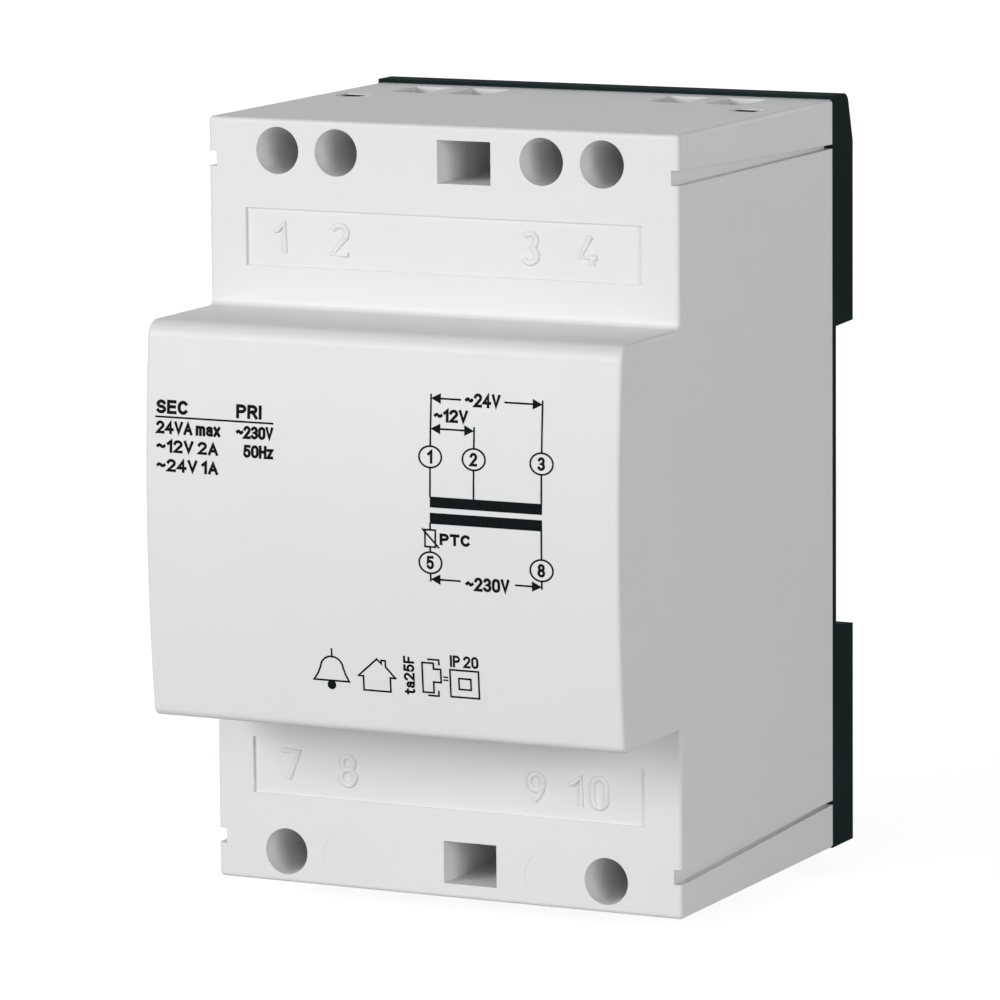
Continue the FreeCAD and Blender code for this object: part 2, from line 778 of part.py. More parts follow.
def make_base(doc):
    """The black base: rim, plug, rear blocks, hooks, latch channel, posts and snap arms."""
    body = new_body(doc, "base")
    gap = size("fit_gap")
    rim = size("rim_thickness")
    sketch = new_sketch(body, "XZ_Plane", 0)
    add_box(sketch, -HALF_WIDTH, HALF_WIDTH, -HALF_HEIGHT, BASE_TOP)
    pad(body, sketch, rim)
    add_rear_blocks(body)
    sketch = new_sketch(body, "XZ_Plane", rim)
    side, end = INNER_WIDTH - gap, INNER_HEIGHT - gap
    add_box(sketch, -side, side, -end, end)
    pad(body, sketch, size("floor_depth") - rim)
    hollow_rear_blocks(body)
    add_hooks(body)
    cut_latch_channel(body)
    add_core_posts(body)
    add_snap_arms(body)

    pilots = new_sketch(body, "XZ_Plane", size("floor_depth"))
    for x, z in small_screw_places():
        add_circle(pilots, x, z, size("small_screw_radius"))
    pocket(body, pilots, size("small_screw_bite") + size("small_screw_radius") / 2)
    return body


# Rail latch and spring

LATCH_FRONT = size("channel_floor") + size("slide_gap")
LATCH_LOW = -(HALF_HEIGHT - size("latch_inset"))
LATCH_EDGE = -(HALF_RECESS + size("slide_gap"))
SPRING_LOW = size("boss_height") - BOSS_Z
SPRING_SOLID = size("spring_wire") * 2 * size("spring_turns")
SPRING_HIGH = SPRING_LOW + SPRING_SOLID + size("latch_travel") + size("spring_spare")


def make_latch(doc):
    """The sliding foot: flanged plate, bevelled nose, spring window and pull slot."""
    body = new_body(doc, "rail_latch")
    half = size("latch_width") / 2
    thickness = size("latch_rear") - LATCH_FRONT
    sketch = new_sketch(body, "XZ_Plane", -LATCH_FRONT)
    add_box(sketch, -half, half, LATCH_LOW, LATCH_EDGE)
    pad(body, sketch, thickness, backwards=True)

    wide = half + size("latch_flange")
    sketch = new_sketch(body, "XZ_Plane", -LATCH_FRONT)
    add_box(sketch, -wide, wide, LATCH_LOW, LATCH_EDGE - size("hook_reach"))
    pad(body, sketch, size("flange_thickness"), backwards=True)

    sketch = new_sketch(body, "YZ_Plane", 0)
    tip = -(HALF_RECESS - size("hook_reach"))
    root = LATCH_EDGE - size("base_wall") / 2
    rear = size("latch_rear")
    bevel = smaller(size("latch_bevel"), size("hook_reach"))
    corners = [
        (size("rail_gap"), root),
        (size("rail_gap"), tip),
        (rear - bevel, tip),
        (rear, tip - bevel),
        (rear, root),
    ]
    add_loop(sketch, corners)
    pad(body, sketch, size("latch_width"), both_ways=True)

    gap = size("slide_gap")
    opening = size("spring_radius") + size("spring_wire") + gap
    sketch = new_sketch(body, "XZ_Plane", -LATCH_FRONT)
    add_box(sketch, -opening, opening, -(BOSS_Z + gap), SPRING_HIGH)
    pocket(body, sketch)

    sketch = new_sketch(body, "XZ_Plane", -LATCH_FRONT)
    low = LATCH_LOW + size("pull_slot")
    half_slot = size("pull_slot_width") / 2
    add_box(sketch, -half_slot, half_slot, low, low + size("pull_slot"))
    pocket(body, sketch)
    return body


def make_spring(doc):
    """A compression spring between the base's boss and the top of the latch's window."""
    radius = SIZES["spring_radius"]
    wire = SIZES["spring_wire"]
    clear = SIZES["thread_gap"]
    low = SPRING_LOW.value + wire + clear
    high = SPRING_HIGH.value - wire - clear
    turns = SIZES["spring_turns"]
    helix = Part.makeHelix((high - low) / turns, high - low, radius)
    profile = Part.Wire(
        Part.Circle(FreeCAD.Vector(radius, 0, 0), FreeCAD.Vector(0, 1, 0), wire).toShape()
    )
    coil = Part.Wire(helix).makePipeShell([profile], True, True)
    spring = doc.addObject("Part::Feature", "latch_spring")
    spring.Label = "latch_spring"
    spring.Shape = coil
    middle = (LATCH_FRONT.value + SIZES["latch_rear"]) / 2
    spring.Placement = FreeCAD.Placement(FreeCAD.Vector(0, middle, low), FreeCAD.Rotation())
    return spring


# Core and coil


def make_e_stack(doc):
    """The stack of E laminations, one closed solid."""
    body = new_body(doc, "core_e_stack")
    unit = CORE_UNIT
    low, high, floor = -HALF_CORE_HEIGHT, HALF_WINDOW, -HALF_WINDOW
    outline = [
        (-HALF_CORE, low),
        (HALF_CORE, low),
        (HALF_CORE, high),
        (unit * 2, high),
        (unit * 2, floor),
        (unit, floor),
        (unit, high),
        (-unit, high),
        (-unit, floor),
        (-unit * 2, floor),
        (-unit * 2, high),
        (-HALF_CORE, high),
    ]
    sketch = new_sketch(body, "XZ_Plane", size("core_seat"))
    add_loop(sketch, outline)
    pad(body, sketch, CORE_STACK)
    return body


def make_i_stack(doc):
    """The stack of I laminations that closes the E."""
    body = new_body(doc, "core_i_stack")
    sketch = new_sketch(body, "XZ_Plane", size("core_seat"))
    add_box(sketch, -HALF_CORE, HALF_CORE, HALF_WINDOW, HALF_CORE_HEIGHT)
    pad(body, sketch, CORE_STACK)
    return body


def make_clamp(doc):
    """The steel band round the core, with tabs folded under it."""
    body = new_body(doc, "core_clamp")
    sheet = size("clamp_thickness")
    inner, high, low = HALF_CORE, HALF_CORE_HEIGHT, -HALF_CORE_HEIGHT
    tab = HALF_CORE - size("clamp_tab")
    outline = [
        (-tab, low),
        (-inner, low),
        (-inner, high),
        (inner, high),
        (inner, low),
        (tab, low),
        (tab, low - sheet),
        (inner + sheet, low - sheet),
        (inner + sheet, high + sheet),
        (-(inner + sheet), high + sheet),
        (-(inner + sheet), low - sheet),
        (-tab, low - sheet),
    ]
    start = size("core_seat") + size("cheek_reach") + size("clamp_inset")
    sketch = new_sketch(body, "XZ_Plane", start)
    add_loop(sketch, outline)
    pad(body, sketch, CORE_STACK - size("cheek_reach") - size("clamp_inset") * 2)
    return body


def add_ring(body, z_low, height, inner, outer):
    """A rectangular ring round the core's middle leg: half sizes across, deep, and corner."""
    for half_x, half_y, corner, cuts in ((*outer, False), (*inner, True)):
        sketch = new_sketch(body, "XY_Plane", z_low)
        if corner is None:
            add_box(sketch, -half_x, half_x, -CORE_MIDDLE - half_y, -CORE_MIDDLE + half_y)
        else:
            add_rounded_box(sketch, half_x, -CORE_MIDDLE, half_y, corner)
        if cuts:
            pocket(body, sketch, height, backwards=True)
        else:
            pad(body, sketch, height)


def make_bobbin(doc):
    """The bobbin: a square tube with two end flanges and a middle one."""
    body = new_body(doc, "bobbin")
    wall = size("bobbin_wall")
    centre = -CORE_MIDDLE
    sketch = new_sketch(body, "XY_Plane", -BOBBIN_TOP)
    add_box(sketch, -TUBE_X, TUBE_X, centre - TUBE_Y, centre + TUBE_Y)
    pad(body, sketch, BOBBIN_TOP * 2)
    reach_x = CORE_UNIT * 2 - size("flange_margin")
    reach_y = TUBE_Y + WINDING_RISE + size("flange_over")
    for low in (-BOBBIN_TOP, -wall / 2, BOBBIN_TOP - wall):
        sketch = new_sketch(body, "XY_Plane", low)
        add_box(sketch, -reach_x, reach_x, centre - reach_y, centre + reach_y)
        pad(body, sketch, wall)
    sketch = new_sketch(body, "XY_Plane", 0)
    add_box(
        sketch,
        -(TUBE_X - wall),
        TUBE_X - wall,
        centre - (TUBE_Y - wall),
        centre + (TUBE_Y - wall),
    )
    pocket(body, sketch, BOBBIN_TOP * 4, both_ways=True)
    return body


def make_coil(doc, name, end):
    """One winding in its chamber of the bobbin, and the tape round it."""
    wall = size("bobbin_wall")
    height = (BOBBIN_TOP * 2 - wall * 3) / 2
    low = wall / 2 if end > 0 else -(BOBBIN_TOP - wall)
    gap = size("thread_gap")
    rise = WINDING_RISE
    corner = size("winding_corner")
    play = rise + gap
    over = rise + size("tape")
    winding = new_body(doc, f"{name}_winding")
    add_ring(
        winding,
        low,
        height,
        (TUBE_X + gap, TUBE_Y + gap, None),
        (TUBE_X + rise, TUBE_Y + rise, corner),
    )
    tape = new_body(doc, f"{name}_tape")
    add_ring(
        tape,
        low,
        height,
        (TUBE_X + play, TUBE_Y + play, corner + gap),
        (TUBE_X + over, TUBE_Y + over, corner + size("tape")),
    )
    return [winding, tape]


# Terminals


def make_cage(doc, name):
    """A lift clamp: a square loop with a threaded front wall."""
    body = new_body(doc, f"terminal_cage_{name}")
    half, rise = size("cage_width") / 2, size("cage_height") / 2
    sketch = new_sketch(body, "XZ_Plane", CAGE_REAR)
    add_box(sketch, -half, half, -rise, rise)
    pad(body, sketch, NUT_FRONT - CAGE_REAR)
    sketch = new_sketch(body, "XY_Plane", 0)
    add_box(sketch, -CAGE_INNER, CAGE_INNER, -NUT_REAR, -WIRE_REAR)
    pocket(body, sketch, size("cage_height") * 2, both_ways=True)
    sketch = new_sketch(body, "XZ_Plane", NUT_FRONT)
    add_circle(sketch, 0, 0, size("screw_radius") + size("thread_gap"))
    pocket(body, sketch, size("nut_thickness"))
    place_terminal_piece(body, name)
    return body


def make_screw(doc, name):
    """A terminal screw with a crossed drive, plain where the thread runs."""
    body = new_body(doc, f"terminal_screw_{name}")
    tip = BAR_FRONT + size("thread_gap")
    sketch = new_sketch(body, "XZ_Plane", tip)
    add_circle(sketch, 0, 0, size("screw_radius"))
    pad(body, sketch, HEAD_REAR - tip)
    sketch = new_sketch(body, "XZ_Plane", HEAD_REAR)
    add_circle(sketch, 0, 0, size("head_radius"))
    pad(body, sketch, size("head_height"))
    front = -HEAD_FRONT.value

    def at_head_rim(edge):
        box = edge.BoundBox
        return abs(box.YMin - front) < FINE and abs(box.YMax - front) < FINE

    round_edges(body, size("head_round"), at_head_rim)
    long_half, short_half = size("drive_length") / 2, size("drive_width") / 2
    for half_x, half_z in ((long_half, short_half), (short_half, long_half)):
        sketch = new_sketch(body, "XZ_Plane", HEAD_FRONT)
        add_box(sketch, -half_x, half_x, -half_z, half_z)
        pocket(body, sketch, size("drive_depth"))
    place_terminal_piece(body, name)
    return body


def make_bar(doc, name):
    """A contact bar: through the cage, stopped by its shoulder, ending in a solder tag."""
    body = new_body(doc, f"contact_bar_{name}")
    half = CAGE_INNER - size("bar_play")
    outer = CHAMBER_TOP - TERMINAL_Z - size("bar_end")
    stop = CARRIER_INNER - TERMINAL_Z
    shoulder = half + size("cage_wall") + size("slide_gap")
    tag = size("tag_width") / 2
    low = stop - size("bar_shoulder")
    end = low - size("tag_length")
    outline = [
        (-half, outer),
        (-half, stop),
        (-shoulder, stop),
        (-shoulder, low),
        (-tag, low),
        (-tag, end),
        (tag, end),
        (tag, low),
        (shoulder, low),
        (shoulder, stop),
        (half, stop),
        (half, outer),
    ]
    sketch = new_sketch(body, "XZ_Plane", BAR_REAR)
    add_loop(sketch, outline)
    pad(body, sketch, size("bar_thickness"))
    place_terminal_piece(body, name)
    return body


# Terminal carriers and their screws

SMALL_SCREW_Z = (TERMINAL_Z - size("cage_height") + CARRIER_INNER) / 2
CARRIER_TOP = TERMINAL_Z - size("cage_height") / 2 - size("slide_gap") * 2


def small_screw_places():
    """Where the carriers are screwed to the base."""
    places = []
    beside_channel = CHANNEL_SIDE + size("base_wall") / 2 + size("small_head_radius")
    for side in (1, -1):
        x = WINDOW_X / 2 + size("small_screw_offset") * side
        places.append((x, SMALL_SCREW_Z))
        places.append((beside_channel * side, -SMALL_SCREW_Z))
    return places


def make_carrier(doc, label, names, end):
    """A moulded bar that grips the contact bars and guides the cages between cheeks."""
    body = new_body(doc, label)
    floor = size("floor_depth")
    half = INNER_WIDTH - size("carrier_side")
    sketch = new_sketch(body, "XZ_Plane", floor)
    add_box(sketch, -half, half, CARRIER_INNER * end, CARRIER_TOP * end)
    pad(body, sketch, size("carrier_front") - floor)

    cheeks = new_sketch(body, "XZ_Plane", floor)
    top = SNAP_TOP - size("snap_thickness") - size("slide_gap")
    overlap = size("cheek") / 2
    low = (CARRIER_TOP - overlap) * end
    places = [TERMINALS[name] for name in names]
    cheek_wall = half - (LEFT_GROUP + size("terminal_pitch") / 2 + CHAMBER_HALF)
    for place in places:
        for side in (1, -1):
            near = place + CHAMBER_HALF * side
            shared = any(
                0 < (other.value - place.value) * side < SIZES["terminal_pitch"] + FINE
                for other in places
            )
            if shared and side < 0:
                continue
            wall = size("terminal_pitch") - CHAMBER_HALF * 2 if shared else cheek_wall * side
            add_box(cheeks, near, near + wall, low, top * end)
    pad(body, cheeks, CHEEK_FRONT - floor)

    slots = new_sketch(body, "XY_Plane", 0)
    half_slot = CAGE_INNER - size("bar_play") + size("slot_play")
    play = size("thread_gap")
    for place in places:
        add_box(
            slots, place - half_slot, place + half_slot, -(BAR_FRONT + play), -(BAR_REAR - play)
        )
    pocket(body, slots, backwards=end > 0)

    holes = new_sketch(body, "XZ_Plane", size("carrier_front"))
    for x, z in small_screw_places():
        if z.value * end > 0:
            add_circle(holes, x, z, size("small_screw_radius") + size("thread_gap"))
    pocket(body, holes)
    return body


def place_cylinder(cylinder, radius, length, x, depth, z):
    """Set a cylinder's size, and its front end's place: it runs towards the rear."""
    cylinder.setExpression("Radius", radius.text)
    cylinder.setExpression("Height", length.text)
    spin = FreeCAD.Rotation(FreeCAD.Vector(1, 0, 0), -90)
    cylinder.Placement = FreeCAD.Placement(FreeCAD.Vector(), spin)
    cylinder.setExpression("Placement.Base.x", as_size(x).text)
    cylinder.setExpression("Placement.Base.y", (-depth).text)
    cylinder.setExpression("Placement.Base.z", z.text)


def make_carrier_screws(doc):
    """The small screws that hold the carriers, four separate solids."""
    pieces = []
    front = size("carrier_front")
    rise = size("small_head_height")
    length = front - size("floor_depth") + size("small_screw_bite")
    radius = size("small_screw_radius") - size("pilot_gap")
    for index, (x, z) in enumerate(small_screw_places(), start=1):
        shank = doc.addObject("Part::Cylinder", f"small_shank_{index}")
        head = doc.addObject("Part::Cylinder", f"small_head_{index}")
        place_cylinder(shank, radius, length, x, front, z)
        place_cylinder(head, size("small_head_radius"), rise, x, front + rise, z)
        whole = doc.addObject("Part::Fuse", f"small_screw_{index}")
        whole.Base = shank
        whole.Tool = head
        pieces.append(whole)
    group = doc.addObject("Part::Compound", "carrier_screws")
    group.Label = "carrier_screws"
    group.Links = pieces
    doc.recompute()
    return group


# Overheating protection and leads


def make_ptc(doc):
    """The protective disc, lying flat on the primary winding."""
    disc = doc.addObject("Part::Cylinder", "ptc_disc")
    disc.Label = "ptc_thermistor"
    place_cylinder(disc, size("ptc_radius"), size("ptc_thickness"), 0, COIL_REAR, PTC_Z)
    doc.recompute()
    return disc


def rounded_path(points):
    """Straight runs joined by tangent arcs, each as large as its two runs allow."""
    edges = []
    start = points[0]
    for before, corner, after in zip(points, points[1:], points[2:]):
        inward, outward = before - corner, after - corner
        half_turn = (math.pi - inward.getAngle(outward)) / 2
        reach = BEND_SHARE * min(inward.Length, outward.Length)
        inward.normalize()
        outward.normalize()
        first = corner + inward * reach
        last = corner + outward * reach
        bisector = inward + outward
        bisector.normalize()
        radius = reach / math.tan(half_turn)
        middle = corner + bisector * (radius / math.cos(half_turn) - radius)
        edges.append(Part.LineSegment(start, first).toShape())
        edges.append(Part.Arc(first, middle, last).toShape())
        start = last
    edges.append(Part.LineSegment(start, points[-1]).toShape())
    return Part.Wire(edges)


def make_wire(doc, label, radius, points):
    """A round wire along a path."""
    places = [FreeCAD.Vector(x, -depth, z) for x, depth, z in points]
    path = rounded_path(places)
    circle = Part.Circle(places[0], places[1] - places[0], radius)
    solid = path.makePipeShell([Part.Wire(circle.toShape())], True, False)
    wire = doc.addObject("Part::Feature", label)
    wire.Label = label
    wire.Shape = solid
    return wire


def make_leads(doc):
    """The leads from the coil to the solder tags."""
    radius = SIZES["lead_radius"]
    flange = BOBBIN_TOP.value
    tag_end = TAG_END.value
    depth = (BAR_REAR.value + BAR_FRONT.value) / 2
    exit_depth = COIL_REAR.value + SIZES["tape"] + radius
    rise = (tag_end - flange) / 4
    leads = []
    for name, share in LEAD_STARTS.items():
        end = 1 if name in UPPER else -1
        start = share * HALF_WINDOW.value
        goal = TERMINALS[name].value
        points = [
            (start, exit_depth, flange * end),
            (start, exit_depth, (flange + rise) * end),
            (goal, depth, (tag_end - rise) * end),
            (goal, depth, tag_end * end),
        ]
        leads.append(make_wire(doc, f"lead_{name}", radius, points))
    leads.append(make_bridge(doc, depth, tag_end))
    leads += make_ptc_legs(doc, depth, tag_end, exit_depth)
    return leads


def make_bridge(doc, depth, tag_end):
    """The short link between the tags of terminals 3 and 4."""
    half_tag = SIZES["tag_width"] / 2
    z = tag_end + SIZES["tag_length"] / 2
    start = TERMINALS["3"].value + half_tag
    goal = TERMINALS["4"].value - half_tag
    circle = Part.Circle(
        FreeCAD.Vector(start, -depth, z), FreeCAD.Vector(1, 0, 0), SIZES["leg_radius"]
    )
    bridge = doc.addObject("Part::Feature", "lead_3_to_4")
    bridge.Label = "lead_3_to_4"
    face = Part.Face(Part.Wire(circle.toShape()))
    bridge.Shape = face.extrude(FreeCAD.Vector(goal - start, 0, 0))
    return bridge


def make_ptc_legs(doc, depth, tag_end, exit_depth):
    """The disc's two legs: one to the coil, one to the solder tag of terminal 7."""
    radius = SIZES["leg_radius"]
    middle = COIL_REAR.value - SIZES["ptc_thickness"] / 2
    offset = SIZES["ptc_radius"] / 2
    low = PTC_Z.value - math.sqrt(SIZES["ptc_radius"] ** 2 - (offset - radius) ** 2)
    drop = (tag_end + low) / 3
    goal = TERMINALS["7"].value
    to_terminal = [
        (-offset, middle, low),
        (-offset, middle, low - drop),
        (goal, depth, -(tag_end - drop)),
        (goal, depth, -tag_end),
    ]
    flange = BOBBIN_TOP.value
    dip = -flange - SIZES["bar_shoulder"]
    to_coil = [
        (offset, middle, low),
        (offset, middle, dip),
        (offset, exit_depth, dip),
        (offset, exit_depth, -flange),
    ]
    return [
        make_wire(doc, "ptc_leg_terminal", radius, to_terminal),
        make_wire(doc, "ptc_leg_coil", radius, to_coil),
    ]


def build(doc):
    """Every sub-part, in the order in which the product is put together."""
    make_sheet(doc)
    pieces = [make_base(doc), make_latch(doc), make_spring(doc)]
    pieces += [make_e_stack(doc), make_i_stack(doc), make_clamp(doc), make_bobbin(doc)]
    pieces += make_coil(doc, "primary", -1)
    pieces += make_coil(doc, "secondary", 1)
    pieces.append(make_ptc(doc))
    pieces.append(make_carrier(doc, "terminal_carrier_top", UPPER, 1))
    pieces.append(make_carrier(doc, "terminal_carrier_bottom", LOWER, -1))
    pieces.append(make_carrier_screws(doc))
    for name in UPPER + LOWER:
        pieces += [make_bar(doc, name), make_cage(doc, name), make_screw(doc, name)]
    pieces += make_leads(doc)
    pieces.append(make_housing(doc))
    doc.recompute()
    return pieces


def check(doc, pieces):
    """Stop if any object failed or any sub-part isn't a sound solid."""
    for item in doc.Objects:
        if "Invalid" in item.State or "Error" in item.State:
            raise RuntimeError(f"{item.Label} failed to compute")
    for piece in pieces:
        shape = piece.Shape
        if shape.isNull() or not shape.isValid() or not shape.Solids or shape.Volume <= 0:
            raise RuntimeError(f"{piece.Label} is not a sound solid")


def write_parts(pieces):
    """One file for each sub-part, named by its label."""
    os.makedirs("parts", exist_ok=True)
    for piece in pieces:
        piece.Shape.exportStep(f"parts/{piece.Label}.step")


def main():
    doc = FreeCAD.newDocument("bell_transformer")
    pieces = build(doc)
    check(doc, pieces)
    write_parts(pieces)
    print(f"{len(pieces)} sub-parts written")


main()
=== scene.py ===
import json
import math

import bmesh
import bpy
from mathutils import Matrix, Vector


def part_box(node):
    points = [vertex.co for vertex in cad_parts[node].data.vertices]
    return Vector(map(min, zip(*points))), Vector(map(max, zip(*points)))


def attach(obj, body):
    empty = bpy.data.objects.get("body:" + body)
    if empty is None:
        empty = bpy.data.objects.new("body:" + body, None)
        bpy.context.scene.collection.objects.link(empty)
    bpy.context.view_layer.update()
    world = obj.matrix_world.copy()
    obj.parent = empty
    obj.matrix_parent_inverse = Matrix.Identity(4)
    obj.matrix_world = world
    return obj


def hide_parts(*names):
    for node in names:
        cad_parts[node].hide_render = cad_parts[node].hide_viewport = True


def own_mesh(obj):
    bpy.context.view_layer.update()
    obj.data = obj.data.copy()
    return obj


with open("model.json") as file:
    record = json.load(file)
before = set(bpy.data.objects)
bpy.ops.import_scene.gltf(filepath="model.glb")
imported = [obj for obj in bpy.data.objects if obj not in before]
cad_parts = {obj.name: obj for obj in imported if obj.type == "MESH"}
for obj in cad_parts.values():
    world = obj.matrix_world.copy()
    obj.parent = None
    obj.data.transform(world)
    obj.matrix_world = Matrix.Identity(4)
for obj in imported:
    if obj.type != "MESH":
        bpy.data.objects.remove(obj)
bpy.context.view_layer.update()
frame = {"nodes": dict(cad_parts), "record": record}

# Looks of the bell transformer. Millimetres here are turned into metres by MM.

MM = 0.001

# Camera fitted to the photo: angles in degrees, offsets and distance in millimetres
CAMERA_AZIMUTH = 26.062
CAMERA_ELEVATION = 8.991
CAMERA_ROLL = -0.490
CAMERA_SIDE = 6.504
CAMERA_RISE = 1.717
CAMERA_DISTANCE = 770.44
CAMERA_AIM_DEPTH = 44.6
FOCAL_PIXELS = 6696.36
IMAGE_PIXELS = 1000
SENSOR = 36.0

# The raised front's bow and the marking fields' floor, as in the CAD model
FRONT_DEPTH = 59.9
FRONT_CURVE = 218.0
RAISED_HALF = 23.0
FIELD_FLOOR = 44.25

# Ink: how far it lies in front of and behind the surface, the widths of its lines, the
# longest step that follows the bow, and the least cosine of a mitre
INK_PROUD = 0.015
INK_BEHIND = 0.02
FINE_LINE = 0.21
FAINT_LINE = 0.168
WORD_PEN = 0.34
HEADING_PEN = 0.38
DIGIT_PEN = 0.31
SMALL_PEN = 0.27
LONGEST_STEP = 1.5
SHARPEST_MITRE = 0.45
RING_POINTS = 40
DISC_POINTS = 24

# Spaces between letters and words, in the units of the glyphs' boxes
LETTER_SPACE = 0.29
WORD_SPACE = 0.24

# Ends of a line that are closer than this make it a loop
LOOP_GAP = 0.001


# Material helpers

# Between these values lies nearly all of Blender's noise
NOISE_LOW = 0.3
NOISE_HIGH = 0.7

# How far the roughness of moulded plastic varies
GLOSS_SWING = 0.04


def new_material(name):
    """A material with an empty Principled shader, as (material, tree, shader)."""
    material = bpy.data.materials.new(name)
    material.use_nodes = True
    tree = material.node_tree
    tree.nodes.clear()
    output = tree.nodes.new("ShaderNodeOutputMaterial")
    shader = tree.nodes.new("ShaderNodeBsdfPrincipled")
    tree.links.new(shader.outputs["BSDF"], output.inputs["Surface"])
    return material, tree, shader


def place_in_mm(tree, scale=(1.0, 1.0, 1.0)):
    """The surface point in millimetres of the part's own frame."""
    point = tree.nodes.new("ShaderNodeTexCoord")
    mapping = tree.nodes.new("ShaderNodeMapping")
    mapping.inputs["Scale"].default_value = [axis / MM for axis in scale]
    tree.links.new(point.outputs["Object"], mapping.inputs["Vector"])
    return mapping.outputs["Vector"]


def noise(tree, place, scale, detail=3.0, roughness=0.5):
    """Noise, with its scale in waves per millimetre."""
    node = tree.nodes.new("ShaderNodeTexNoise")
    node.inputs["Scale"].default_value = scale
    node.inputs["Detail"].default_value = detail
    node.inputs["Roughness"].default_value = roughness
    tree.links.new(place, node.inputs["Vector"])
    return node.outputs["Fac"]


def bands(tree, place, axis, pitch, distortion=0.0):
    """Even bands along an axis, with their pitch in millimetres."""
    node = tree.nodes.new("ShaderNodeTexWave")
    node.wave_type = "BANDS"
    node.bands_direction = axis
    node.wave_profile = "SIN"
    # Blender's wave has 20 radians to a unit
    node.inputs["Scale"].default_value = math.tau / 20 / pitch
    node.inputs["Distortion"].default_value = distortion
    node.inputs["Detail"].default_value = 1.0
    tree.links.new(place, node.inputs["Vector"])
    return node.outputs["Fac"]


def ramp(tree, value, stops):
    """A colour ramp through (position, colour) stops."""
    node = tree.nodes.new("ShaderNodeValToRGB")
    elements = node.color_ramp.elements
    while len(elements) < len(stops):
        elements.new(0.5)
    for element, (position, colour) in zip(elements, stops):
        element.position = position
        element.color = (*colour, 1.0)
    tree.links.new(value, node.inputs["Fac"])
    return node.outputs["Color"]


def spread(tree, value, low, high):
    """A value from noise, mapped to a range."""
    node = tree.nodes.new("ShaderNodeMapRange")
    node.inputs["From Min"].default_value = NOISE_LOW
    node.inputs["From Max"].default_value = NOISE_HIGH
    node.inputs["To Min"].default_value = low
    node.inputs["To Max"].default_value = high
    tree.links.new(value, node.inputs["Value"])
    return node.outputs["Result"]


def bump(tree, height, depth, under=None):
    """A bump of the given depth in millimetres, over another bump if one is given."""
    node = tree.nodes.new("ShaderNodeBump")
    node.inputs["Strength"].default_value = 1.0
    node.inputs["Distance"].default_value = depth * MM
    tree.links.new(height, node.inputs["Height"])
    if under is not None:
        tree.links.new(under, node.inputs["Normal"])
    return node.outputs["Normal"]


def tinted(colour, factor):
    """A colour made lighter or darker."""
    return tuple(min(1.0, channel * factor) for channel in colour)


def mottled(colour, variation):
    """Stops for a ramp over noise, from a darker to a lighter shade of a colour."""
    return [(NOISE_LOW, tinted(colour, 1 - variation)), (NOISE_HIGH, tinted(colour, 1 + variation))]


def moulded(name, colour, roughness, grain_depth, grain_scale=3.0, variation=0.03, specular=0.45):
    """Moulded plastic: fine spark-eroded grain, faint flow marks and uneven gloss."""
    material, tree, shader = new_material(name)
    place = place_in_mm(tree)
    cloud = noise(tree, place, scale=0.05, detail=2.0)
    tree.links.new(ramp(tree, cloud, mottled(colour, variation)), shader.inputs["Base Color"])
    gloss = noise(tree, place, scale=0.35, detail=4.0)
    rough = spread(tree, gloss, roughness - GLOSS_SWING, roughness + GLOSS_SWING)
    tree.links.new(rough, shader.inputs["Roughness"])
    grain = noise(tree, place, scale=grain_scale, detail=4.0, roughness=0.6)
    flow = noise(tree, place, scale=0.12, detail=1.0)
    normal = bump(tree, grain, grain_depth, bump(tree, flow, grain_depth * 2))
    tree.links.new(normal, shader.inputs["Normal"])
    shader.inputs["Specular IOR Level"].default_value = specular
    return material


def metal(name, colour, roughness, streak=(1.0, 1.0, 1.0), mottle=0.12, scratch_depth=0.004):
    """Plated or drawn metal: mottled colour, streaked gloss and fine scratches."""
    material, tree, shader = new_material(name)
    cloud = noise(tree, place_in_mm(tree), scale=0.6, detail=4.0)
    tree.links.new(ramp(tree, cloud, mottled(colour, mottle)), shader.inputs["Base Color"])
    scratches = noise(tree, place_in_mm(tree, streak), scale=4.0, detail=3.0)
    rough = spread(tree, scratches, roughness - 0.08, roughness + 0.1)
    tree.links.new(rough, shader.inputs["Roughness"])
    tree.links.new(bump(tree, scratches, scratch_depth), shader.inputs["Normal"])
    shader.inputs["Metallic"].default_value = 1.0
    return material


def laminated():
    """Stacked sheets of varnished silicon steel: a dark joint every half millimetre."""
    material, tree, shader = new_material("core_steel")
    place = place_in_mm(tree)
    sheets = bands(tree, place, "Y", pitch=0.5, distortion=0.3)
    stops = [
        (0.0, (0.03, 0.03, 0.035)),
        (0.35, (0.16, 0.17, 0.19)),
        (0.8, (0.24, 0.25, 0.28)),
        (1.0, (0.20, 0.17, 0.15)),
    ]
    tree.links.new(ramp(tree, sheets, stops), shader.inputs["Base Color"])
    spots = noise(tree, place, scale=0.7, detail=5.0)
    tree.links.new(spread(tree, spots, 0.3, 0.55), shader.inputs["Roughness"])
    normal = bump(tree, sheets, 0.05, bump(tree, spots, 0.02))
    tree.links.new(normal, shader.inputs["Normal"])
    shader.inputs["Metallic"].default_value = 0.8
    shader.inputs["Coat Weight"].default_value = 0.4
    shader.inputs["Coat Roughness"].default_value = 0.25
    return material


